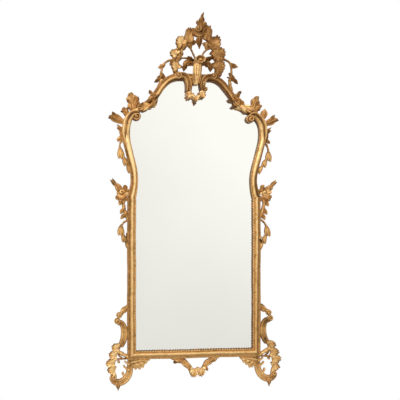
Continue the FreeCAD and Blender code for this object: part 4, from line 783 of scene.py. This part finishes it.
SHOULDER_CARVINGS_px = {
    "left_arch_leaves": [
        ("shell", "knot", 5, 2, (150, 103.8), (144.6, 106.2), (137.6, 108),
         {"spread": 66, "shade": 0.06}),
        ("leaf", "knot", 3.6, 2, (158.8, 94.2), (153.6, 97.6), (146.6, 102.4),
         {"shade": 0.1, "tip": -0.1}),
        ("leaf", "knot", 3, 2, (157, 97.6), (153.6, 103), (147.4, 107.4), {"shade": -0.08}),
        ("leaf", "knot", 2.2, 1, (152.4, 99.5), (153.8, 102.8), (154.6, 106.4), {"shade": -0.2}),
        ("boss", "knot", 1.5, (152.6, 100.4), {"shade": -0.2})],
    "left_arch_bud": [
        ("leaf", "side", 2.4, 2, (157.4, 98), (153.4, 94.6), (149.4, 89.2), {"tip": -0.4})],
    "right_arch_leaves": [
        ("shell", "knot", 4.8, 2, (239.4, 106), (245.2, 109.6), (252, 112.4),
         {"spread": 66, "shade": -0.14}),
        ("leaf", "knot", 3.6, 2, (231.6, 96.8), (237, 101), (243.4, 106.6),
         {"shade": -0.1, "tip": -0.1}),
        ("leaf", "knot", 3.2, 2, (232.6, 100.4), (236.4, 106), (242.4, 110.4), {"shade": -0.22}),
        ("leaf", "knot", 1.8, 1, (235.4, 102), (231.8, 101.6), (228, 99.8), {"tip": -0.6}),
        ("leaf", "knot", 1.9, 1, (238.2, 105), (234.8, 107), (231, 107.6), {"tip": -0.6}),
        ("boss", "knot", 1.5, (237.4, 103.4), {"shade": -0.2})],
    "right_arch_bud": [
        ("leaf", "side", 2.4, 2, (233.6, 99.6), (238, 95.2), (241.6, 91.6), {"tip": -0.4})],
    "left_shoulder_volute": [
        ("band", "over", (2.6, 3.3, 3.8, 2), (128.6, 152), (125.8, 138), (125.8, 127), (128, 118.2),
         (133.4, 112.4), (139, 113.6), {"lead": 0.5, "shade": -0.26, "hollow": 0.62}),
        ("boss", "over", 4, (136.6, 115.6), {"shade": 0.14})],
    "right_shoulder_volute": [
        ("band", "over", (2.6, 3.3, 3.8, 2), (260.4, 154), (263.2, 141), (263.2, 131), (260.8, 122.6),
         (254.4, 116.4), (248.4, 117.6), {"lead": 0.5, "shade": -0.22, "hollow": 0.62}),
        ("boss", "over", 4, (249.8, 119.8), 1.5, -1, {"shade": 0.12})],
    "left_shoulder_leaf": [
        ("leaf", "side", 5.8, 3, (134, 113), (132.4, 101.5), (131, 91.2), {"tip": -0.15}),
        ("leaf", "crest", 3.2, 2, (134, 110.4), (136.4, 102.6), (138, 95.6), {"tip": -0.25}),
        ("leaf", "side", 1.6, 1, (131.4, 103), (129.2, 100.6), (127, 98.8), {"tip": -0.6})],
    "right_shoulder_leaf": [
        ("leaf", "side", 5, 3, (254.4, 117), (254.4, 106.5), (258.8, 97), {"tip": -0.1}),
        ("leaf", "crest", 2.8, 2, (255, 114), (258, 109), (262, 106.2))],
    "left_outer_leaves": [
        ("leaf", "side", 4.2, 1, (127.5, 123.4), (118, 118), (109, 114.4), {"tip": -0.35}),
        ("leaf", "side", 1.8, 1, (119, 117), (115, 114), (112.2, 110.2), {"tip": -0.5}),
        ("leaf", "side", 1.4, 1, (115, 117), (111.4, 116.2), (108.2, 116.4), {"tip": -0.5}),
        ("leaf", "side", 3.2, 2, (130, 117), (126.2, 112), (123.4, 105.8), {"tip": -0.2}),
        ("leaf", "side", 1.3, 1, (126.6, 112.6), (123.6, 110.6), (120.6, 110), {"tip": -0.5}),
        ("leaf", "side", 1.3, 1, (127, 111), (127.4, 108.2), (127.8, 105.8), {"tip": -0.5}),
        ("leaf", "side", 3, 1, (126, 146), (123.2, 136), (121.4, 128.6), (116.8, 123.2),
         {"lean": 0.3, "tip": -0.25, "shade": -0.05}),
        ("leaf", "side", 1.4, 1, (122.4, 131.6), (119.8, 128), (116.8, 126.4), {"tip": -0.25})],
    "right_outer_leaves": [
        ("leaf", "side", 3.6, 1, (261.5, 127.4), (270, 122.8), (278.2, 119.8), {"tip": -0.25}),
        ("leaf", "side", 1.8, 1, (268, 122.6), (272, 119.4), (275.2, 115.6), {"tip": -0.4}),
        ("leaf", "side", 1.4, 1, (272.6, 121.4), (275.8, 121.2), (279, 121.4), {"tip": -0.4}),
        ("leaf", "side", 3.6, 1, (259.8, 123), (263.8, 116.4), (265, 109.6)),
        ("leaf", "side", 2.6, 1, (262.4, 150), (265.6, 140), (267.2, 133), (271.8, 128.2),
         {"lean": 0.3, "tip": -0.25, "shade": -0.05}),
        ("leaf", "side", 1.4, 1, (266.2, 136.4), (268.8, 132.8), (271.6, 131.4), {"tip": -0.25})],
    "left_upper_husks": [
        ("leaf", "side", 2.8, 2, (125, 135.5), (121, 137.6), (116.8, 138.6)),
        ("stem", "side", (1.2, 0.9, 0.8), (123.5, 137.5), (120.4, 142), (120, 148), {"shade": 0.24}),
        ("husk", "side", 3.8, (120, 145.6), (120.8, 152), (121.6, 158.2)),
        ("husk", "side", 3, (123.2, 155), (125.2, 160), (126.8, 165.4), {"shade": 0.12}),
        ("husk", "side", 2.4, (127, 163), (128.8, 167.6), (130.6, 172.6), {"shade": 0.12})],
    "right_upper_husks": [
        ("leaf", "side", 2, 2, (263.5, 138.5), (267, 141), (270, 144.6)),
        ("stem", "side", (1.2, 0.9, 0.8), (263.8, 141.5), (267.6, 147), (269, 154), {"shade": 0.24}),
        ("husk", "side", 3.5, (268.8, 151.6), (269, 157), (268.8, 162)),
        ("husk", "side", 2.8, (267, 159.6), (265.2, 163.5), (263.8, 167.8)),
        ("husk", "side", 2.4, (263.4, 165.6), (261, 169.6), (258.4, 174))],
}
carve(SHOULDER_CARVINGS_px)

SIDE_CARVINGS_px = {
    "left_side_leaf": [
        ("shell", "side", 4.9, 2, (125.4, 195.2), (121.8, 193), (116.4, 191.2), {"shade": 0.08}),
        ("leaf", "side", 3.6, 2, (124.8, 194), (118.4, 186.8), (111.8, 178.4),
         {"shares": (0.9, 1, 0.7, 0.45), "tip": -0.25, "curl": 0.4}),
        ("leaf", "crest", 2.4, 1, (123.6, 192.4), (125.2, 188), (124.4, 183.8), {"tip": -0.3}),
        ("leaf", "crest", 3, 2, (126.4, 194.4), (121, 198.2), (116.2, 194.4),
         {"curl": 0.4, "tip": -0.1}),
        ("leaf", "side", 2.4, 2, (129.6, 194.6), (125.2, 198.6), (120.8, 200.4), {"shade": 0.06}),
        ("leaf", "side", 2.4, 1, (130.6, 188.8), (127, 190), (123.4, 191.6)),
        ("boss", "crest", 2.8, (121.6, 191.4), 1)],
    "right_side_leaf": [
        ("shell", "side", 4.9, 2, (263, 196.6), (266.8, 194.8), (272, 193.4), {"shade": -0.04}),
        ("leaf", "side", 3.4, 2, (263.6, 195), (269.4, 189.2), (276.2, 182.6),
         {"shares": (0.9, 1, 0.7, 0.45), "tip": -0.25, "curl": 0.4, "shade": -0.06}),
        ("leaf", "crest", 2.2, 1, (263, 193.6), (262.4, 189.4), (264.2, 185.6)),
        ("leaf", "crest", 2.8, 2, (262.6, 197.6), (267.4, 199.8), (271.2, 196.2),
         {"curl": 0.4, "tip": -0.1}),
        ("leaf", "side", 2.4, 2, (258.6, 196.6), (262, 199.4), (265.6, 200.6), {"shade": 0.06}),
        ("leaf", "side", 2.4, 1, (257.4, 190.8), (260.8, 191.8), (264, 193.4)),
        ("boss", "crest", 3.3, (264.8, 193.6), 1, -1, {"shade": -0.08})],
    "left_side_husks": [
        ("stem", "side", (1.4, 1.6, 1.6, 1.3), (124.6, 198), (123.6, 204), (125.4, 212), (128.8, 220.5),
         {"shade": 0.16}),
        ("leaf", "side", 2, 1, (124.4, 197.6), (121.4, 200.6), (119.4, 204.4)),
        ("leaf", "side", 2, 1, (125.4, 204.4), (123.2, 208.6), (120.2, 213)),
        ("leaf", "side", 2, 1, (127.4, 209.6), (124.6, 214), (120.2, 218)),
        ("stem", "side", (1.3, 1, 0.9), (129.2, 219.2), (123.6, 222), (121.4, 226.5), {"shade": 0.24}),
        ("husk", "side", 3.7, (121.5, 223.6), (121, 229.6), (121.2, 235.2)),
        ("husk", "side", 2.7, (122.6, 232), (123.8, 237), (124.8, 242), {"shade": 0.12}),
        ("husk", "side", 2.3, (125.6, 239.6), (127.4, 244), (129.4, 248.6), {"shade": 0.12}),
        # A dark stem where the husks meet the stile: painted shadow.
        ("stem", "side", (1, 1, 0.9), (127.4, 231.8), (127, 236.4), (127.8, 241.2), {"shade": 0.5})],
    "right_side_husks": [
        ("stem", "side", (1.4, 1.6, 1.6, 1.3), (263, 199), (264.4, 205), (262.4, 212.5), (259.2, 221),
         {"shade": 0.12}),
        ("leaf", "side", 2, 1, (263.4, 200), (266.4, 203.2), (268.8, 207.2)),
        ("leaf", "side", 2, 1, (262.8, 206.4), (264.8, 210.8), (267.4, 215.6)),
        ("leaf", "side", 2, 1, (260.6, 211.6), (263, 216), (265.2, 220.8)),
        ("stem", "side", (1.3, 1, 0.9), (258.8, 219.6), (264.6, 223.4), (267, 229), {"shade": 0.24}),
        ("husk", "side", 3.4, (266.4, 226), (267.6, 231.5), (268.2, 237.2)),
        ("husk", "side", 2.6, (266.8, 234.8), (265, 239.6), (264, 244.4)),
        ("husk", "side", 2.3, (263.6, 241.6), (261.6, 246), (259.4, 250.4)),
        ("boss", "crest", 1.9, (260.2, 238.4), 1, -1, {"shade": -0.2}),
        ("leaf", "crest", 1.2, 1, (260.2, 239.2), (260.6, 241), (260.4, 242.8), {"shade": 0.6})],
}
carve(SIDE_CARVINGS_px)

FOOT_CARVINGS_px = {
    "left_foot_scroll": [
        ("leaf", "side", 3, 2, (129.4, 302.6), (124.8, 309.2), (118.4, 315)),
        ("boss", "crest", 2.9, (119.3, 314.6)),
        ("band", "side", (2.6, 3.1, 3.3, 2.6), (116.4, 321.8), (122.4, 323.6), (124.3, 335),
         (120.2, 346.4)),
        ("boss", "crest", 3, (117.4, 320.4))],
    "right_foot_scroll": [
        ("leaf", "side", 3, 2, (258.6, 303), (263.4, 309), (269.8, 314)),
        ("boss", "crest", 2.9, (269.1, 313.6), 1.5, -1),
        ("band", "side", (2.6, 3.1, 3.3, 2.6), (271.6, 320.8), (265.4, 322.6), (263.5, 333.6),
         (268, 344.6), {"shade": 0.1}),
        ("boss", "crest", 3, (270.6, 319.2), 1.5, -1)],
    "left_foot_shells": [
        ("band", "stem", (1.6, 2.6, 2.8, 2), (121.6, 343.5), (115.4, 352), (112.4, 363), (112.6, 375)),
        ("shell", "side", 4.6, 3, (118.6, 347.6), (116, 347.4), (111, 347)),
        ("shell", "side", 4.6, 3, (116.4, 355), (113.4, 354.8), (108.2, 354.6)),
        ("shell", "side", 4.9, 3, (114.4, 362.6), (111, 362.4), (105.4, 362.2)),
        ("shell", "side", 4.4, 3, (115, 370), (112, 370), (107.2, 370.2)),
        ("stem", "side", (1.9, 1.9, 1.6), (117, 350.2), (123, 353.8), (129.6, 356.8)),
        ("stem", "stem", (1, 0.9, 0.9), (115.6, 358.8), (122, 358.4), (129, 358), {"shade": 0.4}),
        ("stem", "stem", (1, 0.9, 0.9), (117.8, 351.6), (119.6, 355.6), (123.4, 358.4),
         {"shade": 0.4}),
        ("boss", "side", 1.4, (118.8, 361.2))],
    "right_foot_shells": [
        ("band", "stem", (1.6, 2.6, 2.8, 2), (266.4, 341.6), (272.2, 350), (275.2, 360.6),
         (275, 373.4)),
        ("shell", "side", 4.6, 3, (268.8, 346.2), (271.6, 345.8), (276.6, 345.2), {"shade": 0.13}),
        ("shell", "side", 4.6, 3, (271.2, 353.2), (274.4, 353), (279.8, 352.6), {"shade": 0.13}),
        ("shell", "side", 4.8, 3, (273.2, 360.6), (276.4, 360.4), (281.8, 360), {"shade": 0.13}),
        ("shell", "side", 4.4, 3, (272.6, 367.8), (275.4, 367.6), (280, 367.2), {"shade": 0.13}),
        ("stem", "side", (1.9, 1.9, 1.6), (270.6, 349.2), (264.8, 352.8), (258.6, 356.2)),
        ("stem", "stem", (1, 0.9, 0.9), (272.4, 357.6), (266, 357.4), (258.8, 357), {"shade": 0.4}),
        ("stem", "stem", (1, 0.9, 0.9), (269.8, 350.6), (268, 354.6), (264.2, 357.4), {"shade": 0.4}),
        ("boss", "side", 1.4, (269, 359.4))],
    "left_foot_cusp": [
        ("band", "side", (2.2, 3.5, 3.2, 2.9), (111.9, 374.6), (113.7, 380.2), (118.6, 382.2),
         (124.6, 379.8), (128.8, 374.2), (130.2, 366), (130.6, 356)),
        ("boss", "crest", 3.1, (113.6, 376.4)),
        ("stem", "side", (1.4, 1.1, 1.2), (127.6, 377), (124.2, 375.6), (122.8, 371.4)),
        ("stem", "side", (1.4, 1, 1), (129.4, 369.6), (125.8, 367.6), (123.6, 364.6)),
        ("stem", "side", (1.4, 1, 1), (129.6, 364.2), (126.6, 362.4), (124.6, 360.6)),
        ("leaf", "crest", 3, 1, (118, 381.6), (118.2, 386), FOOT_TIP_px,
         {"lean": 0, "curl": 0, "shares": (1.2, 0.9, 0.4, 0.04), "tip": -0.3})],
    "right_foot_cusp": [
        ("band", "side", (2.2, 3.5, 3.2, 2.9), (275.5, 372.4), (273.5, 377.8), (268.6, 379.8),
         (262.9, 377.4), (259, 371.8), (257.7, 364), (257.3, 355)),
        ("boss", "crest", 3.1, (273.8, 374.4), 1.5, -1),
        ("stem", "side", (1.4, 1.1, 1.2), (260, 374.6), (263.4, 373.2), (265, 369)),
        ("stem", "side", (1.4, 1, 1), (258.4, 367.4), (262, 365.4), (264.4, 362.4)),
        ("stem", "side", (1.4, 1, 1), (258.2, 362.2), (261.4, 360.4), (263.4, 358.6)),
        ("leaf", "crest", 2.9, 1, (269.6, 378.8), (269.4, 383), (269.2, 387.4),
         {"lean": 0, "curl": 0, "shares": (1.2, 0.9, 0.4, 0.04), "tip": -0.3})],
    "left_foot_leaf": [
        ("leaf", "side", 6, 4, (130.5, 361.8), (138.6, 360.2), (149.8, 359.4),
         {"sides": (1.6, 0.7), "shares": (1, 0.95, 0.55, 0.06), "lean": 0.5, "shade": -0.16})],
    "right_foot_leaf": [
        ("leaf", "side", 6, 4, (257.5, 360.6), (249.6, 359), (240, 358.2),
         {"sides": (0.7, 1.6), "shares": (1, 0.95, 0.55, 0.06), "lean": 0.5, "shade": -0.1})],
    "apron_garland": [
        ("leaf", "side", 3.6, 3, (191, 371.4), (184, 362.6), (169.4, 357.4)),
        ("leaf", "side", 1.8, 1, (180, 359.6), (177, 361.4), (173.4, 362.8), {"tip": -0.6}),
        ("band", "side", (2.2, 2.6, 2.2), (178.5, 359.6), (187, 364.4), (191.8, 372)),
        ("leaf", "side", 3.6, 3, (203.4, 369.6), (209, 362), (220.4, 357)),
        ("band", "side", (2.2, 2.6, 2.2), (214, 359), (207.4, 363.6), (203.2, 370.4)),
        ("leaf", "side", 1.6, 1, (204.6, 366), (206.6, 368.6), (207.4, 371.4)),
        ("shell", "crest", 4.6, 4, (194.4, 369), (194, 372), (193.6, 377.8)),
        ("shell", "crest", 4.4, 4, (201, 368.4), (201.2, 371.4), (201.4, 376.6))],
}
carve(FOOT_CARVINGS_px)


# Flower vase: a limewood horn, turned and fluted, that is glued in front of the head joint and gilded. A
# blossom of eight petals, carved apart, is glued in its mouth.

VASE_AXIS_COLUMNS_px = (197.2, 197, 195.2)
VASE_RADII_AND_ROWS_px = ((3.8, 60.8), (4.7, 62.2), (4.2, 64.6), (4.7, 69.5), (4.4, 75), (3.5, 80),
                          (2.7, 84.8))
VASE_AXIS_DEPTH = 0.035
FLUTES = 10
FLUTE_START_share = 0.26
BLOSSOM_CENTRE_px = (199.4, 60.2)
BLOSSOM_RADII_px = (5.4, 3.9)
BLOSSOM_DEPTHS = (0.02, 0.064)
BLOSSOM_WALL_share = 0.15
PETALS = 8
FULLY_GILT = np.ones((1, 1))


def flower_vase():
    """Horn: a stack of rings about a bent axis, whose radii follow a table of rows. They swell by a power
    of |sin| of the angle in each flute, from below the neck to the foot."""
    share, angle = stack(rings=70, around=100)
    radii, rows = np.array(VASE_RADII_AND_ROWS_px).T
    knots = np.linspace(0, 1, len(radii))
    flute = np.abs(np.sin(FLUTES * angle / 2)) ** 0.8 * np.clip((share - FLUTE_START_share) / 0.1, 0.1, 1)
    radius = PIXEL * np.interp(share, knots, radii) * (0.86 + 0.14 * flute)
    columns = along_values(VASE_AXIS_COLUMNS_px, share)
    axis = spot(np.stack([columns, np.interp(share, knots, rows)], -1))
    flat = np.broadcast_to(axis, (*flute.shape, 2)).copy()
    flat[..., 0] += radius * np.cos(angle)
    relief_and_shading = 0.38 + 0.36 * flute + 0.2 * share ** 2
    return in_space(flat, VASE_AXIS_DEPTH + radius * np.sin(angle)), relief_and_shading, FULLY_GILT


def vase_blossom():
    """Blossom: a stack of rings that climb its wall and then close in. The rim swells by a power of |sin|
    of the angle in each petal, and a groove of a bell curve runs round the heart."""
    share, angle = stack(rings=44, around=96)
    back, top = BLOSSOM_DEPTHS
    petal = np.abs(np.sin(PETALS * angle / 2 + 0.5)) ** 0.6
    climb = np.clip((share - BLOSSOM_WALL_share) / (1 - BLOSSOM_WALL_share), 0, 1)
    spread = (1 - 0.98 * climb) * (0.86 + 0.14 * petal * (1 - climb))
    oval = np.stack([BLOSSOM_RADII_px[0] * np.cos(angle), BLOSSOM_RADII_px[1] * np.sin(angle)], -1)
    flat = spot(BLOSSOM_CENTRE_px) + PIXEL * spread[..., None] * oval
    groove = ridge(climb, 0.46, 0.16)
    rise = np.minimum(share / BLOSSOM_WALL_share, 1) * 0.8 + 0.2 * ridge(climb, 0.1, 0.12) - 0.26 * groove
    rise = rise + 0.1 * (petal - 0.5) * (1 - climb)
    relief_and_shading = 0.66 + 0.26 * petal * (1 - climb) - 0.14 * groove
    return in_space(flat, back + (top - back) * rise), relief_and_shading, FULLY_GILT


gilded_piece("flower_vase_carved", [flower_vase()], "flower_vase")
gilded_piece("vase_blossom_carved", [vase_blossom()], "vase_blossom")


# Mirror glass: one silvered plate that lies in the rebate behind the sight edge and is pressed forward
# by the packing blocks. It is faintly clouded with age. Its colour is lighter towards the top and the
# right and greyer towards the bottom left: a painted reflection.

PLATE_PALE_REFLECTION = tone(252, 252, 245)
PLATE_GREY_REFLECTION = tone(222, 222, 214)
PLATE_CLOUD_SCALE = 2.4
REFLECTION_RISE = (-1, 0.55)
REFLECTION_ASIDE_RISE = (-0.9, 0.3)
PLATE_ROUGHNESS = 0.02

silvered, shader, place = new_material("silvered_glass")
# Painted reflection: lighter towards the top and the right, greyer towards the bottom left, with faint
# clouds of age from the noise.
rise = place.part("Z")
reflection_and_clouds = rise.step(*REFLECTION_RISE) + place.part("X") * 0.85 * rise.step(*REFLECTION_ASIDE_RISE)
reflection_and_clouds = reflection_and_clouds + (place.noise(PLATE_CLOUD_SCALE, 2) - 0.5) * 0.3
feed(shader, "Base Color", reflection_and_clouds.blend(PLATE_GREY_REFLECTION, PLATE_PALE_REFLECTION))
shader.inputs["Metallic"].default_value = 1
shader.inputs["Roughness"].default_value = PLATE_ROUGHNESS


def finish_node(node, material):
    """One material over a whole solid of the frame."""
    nodes[node].data.materials.clear()
    nodes[node].data.materials.append(material)


finish_node("mirror_glass", silvered)


# Backing boards and packing blocks: planed pine. The boards are screwed over the rebate with their
# grain across the mirror, and the blocks press the glass forward.

PINE_PALE = tone(176, 134, 86)
PINE_BROWN = tone(122, 84, 48)
PINE_LATEWOOD = tone(92, 60, 34)
HEART_DEPTH = 0.016
FIBRE_STRETCH = (5, 160, 160)
RING_KIND = {"wave_type": "RINGS", "rings_direction": "X", "wave_profile": "SAW"}
RING_VALUES = {"Scale": 16, "Distortion": 4, "Detail": 2, "Detail Scale": 0.35}
STAIN_SCALE = 5
FIBRE_SCALE = 3
PINE_BUMP = 0.2
PINE_BUMP_DEPTH = 0.001
# Slant of the heart, its height and the browning of each board
BOARDS = {"lower_backboard": (0.06, 0.05, 0.02), "middle_backboard": (-0.08, -0.07, 0.2),
          "upper_backboard": (0.07, -0.04, 0.1), "packing_blocks": (0.05, 0, 0.15)}


def pine_board(node, slant, heart, browning):
    """Sawn pine: growth rings round a heart that slants through the board, so that they open into long
    arches along it, with fine fibre between them. Each board has a slant and a heart height of its own,
    and a browning with age."""
    pine, shader, place = new_material(f"pine_{node}")
    low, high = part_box(node)
    heart_place = (0, HEART_DEPTH, heart - (low.z + high.z) / 2)
    sawn = place.node("ShaderNodeMapping", {},
                      {"Vector": place, "Location": heart_place, "Rotation": (0, 0, slant)})
    drawn = place.node("ShaderNodeMapping", {}, {"Vector": place, "Scale": FIBRE_STRETCH})
    rings = place.node("ShaderNodeTexWave", RING_KIND, {"Vector": sawn, **RING_VALUES}, "Fac")
    stain = sawn.noise(STAIN_SCALE, 4)
    fibre = drawn.noise(FIBRE_SCALE, 3)
    colour = (stain.step(0.3, 0.7) * 0.5 + browning).blend(PINE_PALE, PINE_BROWN)
    colour = (rings.step(0.35, 1) * 0.55).blend(colour, PINE_LATEWOOD)
    colour = (fibre.step(0.46, 0.7) * 0.35).blend(colour, PINE_LATEWOOD)
    feed(shader, "Base Color", colour)
    feed(shader, "Roughness", 0.6 + fibre * 0.25)
    feed(shader, "Normal", (rings * 0.4 + fibre).bumped(PINE_BUMP, PINE_BUMP_DEPTH))
    finish_node(node, pine)


for node, (slant, heart, browning) in BOARDS.items():
    pine_board(node, slant, heart, browning)


# Dowels and splines: pale beech. The dowels are turned pins, glued into bores across the joints of the
# rails, and the splines are thin slips, glued into saw cuts across the bottom mitres.

BEECH_PALE = tone(196, 158, 116)
BEECH_FLECK = tone(158, 116, 76)
FLECK_SCALE = 240
FLECK_RANGE = (0.4, 0.68)

beech, shader, place = new_material("beech")
fleck = place.noise(FLECK_SCALE, 3)
feed(shader, "Base Color", fleck.step(*FLECK_RANGE).blend(BEECH_PALE, BEECH_FLECK))
feed(shader, "Roughness", 0.55 + fleck * 0.2)
for node in ("frame_dowels", "corner_splines"):
    finish_node(node, beech)


# Hangers and screws: zinc-plated steel, dull with age. Each hanger is a bent strap with a hinged wire
# ring, screwed to the rear of a stile. Countersunk screws hold the straps and the boards.

STEEL_PALE = tone(150, 148, 142)
STEEL_DULL = tone(108, 98, 84)
BLOOM_SCALE = 160
BLOOM_RANGE = (0.4, 0.65)
STEEL_METAL = 0.9

steel, shader, place = new_material("steel")
bloom = place.noise(BLOOM_SCALE, 4)
feed(shader, "Base Color", bloom.step(*BLOOM_RANGE).blend(STEEL_PALE, STEEL_DULL))
feed(shader, "Roughness", 0.32 + bloom * 0.3)
shader.inputs["Metallic"].default_value = STEEL_METAL
for node in ("left_hanger_strap", "right_hanger_strap", "left_hanger_ring", "right_hanger_ring",
             "board_screws", "hanger_screws"):
    finish_node(node, steel)


# Floor, light and camera: a pale floor below the hanging mirror, soft light from the upper left, and a
# level camera a little to the left of the front.

FLOOR_DROP = 0.3
FLOOR_RADIUS = 0.75
FLOOR_SIDES = 96
FLOOR_GREY = (0.85, 0.85, 0.85, 1)
FLOOR_ROUGHNESS = 0.9

angle = np.linspace(0, 2 * math.pi, FLOOR_SIDES, endpoint=False)
floor_height = np.full(FLOOR_SIDES, cad_box[0].z - FLOOR_DROP)
rim = np.stack([FLOOR_RADIUS * np.cos(angle), FLOOR_RADIUS * np.sin(angle), floor_height], 1)
mesh = bpy.data.meshes.new("floor")
mesh.from_pydata(rim, [], [list(range(FLOOR_SIDES))])
floor = bpy.data.objects.new("floor", mesh)
bpy.context.scene.collection.objects.link(floor)
floor_paint, shader, _ = new_material("floor_paint")
shader.inputs["Base Color"].default_value = FLOOR_GREY
shader.inputs["Roughness"].default_value = FLOOR_ROUGHNESS
mesh.materials.append(floor_paint)

ROOM_LIGHT = 0.42
ROOM_WHITE = (1, 1, 1, 1)
world = bpy.data.worlds.new("studio")
bpy.context.scene.world = world
world.use_nodes = True
background = world.node_tree.nodes["Background"]
room = Shade(world.node_tree)
camera_ray, glossy_ray, passing_ray = (room.node("ShaderNodeLightPath", output=f"Is {kind} Ray")
                                       for kind in ("Camera", "Glossy", "Transmission"))
seen = (camera_ray + glossy_ray + passing_ray).step(0, 1)
feed(background, "Strength", seen * (1 - ROOM_LIGHT) + ROOM_LIGHT)
background.inputs["Color"].default_value = ROOM_WHITE

KEY_POWER = 122
KEY_SIZE = 1.6
KEY_PLACE = (-1.4, -2.8, 2.3)
KEY_TURN = (math.radians(53.7), 0, math.radians(-26.6))
key_data = bpy.data.lights.new("key", "AREA")
key_data.energy = KEY_POWER
key_data.size = KEY_SIZE
key = bpy.data.objects.new("key", key_data)
key.location = KEY_PLACE
key.rotation_euler = KEY_TURN
bpy.context.scene.collection.objects.link(key)

CAMERA_ANGLE = math.radians(9.4)
CAMERA_DISTANCE = 3.53
CAMERA_AIM = 0.026
CAMERA_ROW_px = 221
CAMERA_LENS = 74
CAMERA_SHIFT = 0.0525
camera_data = bpy.data.cameras.new("camera")
camera_data.lens = CAMERA_LENS
camera_data.shift_y = CAMERA_SHIFT
camera = bpy.data.objects.new("camera", camera_data)
camera.location = (CAMERA_AIM - math.sin(CAMERA_ANGLE) * CAMERA_DISTANCE,
                   -math.cos(CAMERA_ANGLE) * CAMERA_DISTANCE,
                   spot((VIEW_COLUMN_px, CAMERA_ROW_px))[1])
camera.rotation_euler = (math.radians(90), 0, -CAMERA_ANGLE)
bpy.context.scene.collection.objects.link(camera)
bpy.context.scene.camera = camera

bpy.context.scene.view_settings.view_transform = "Standard"
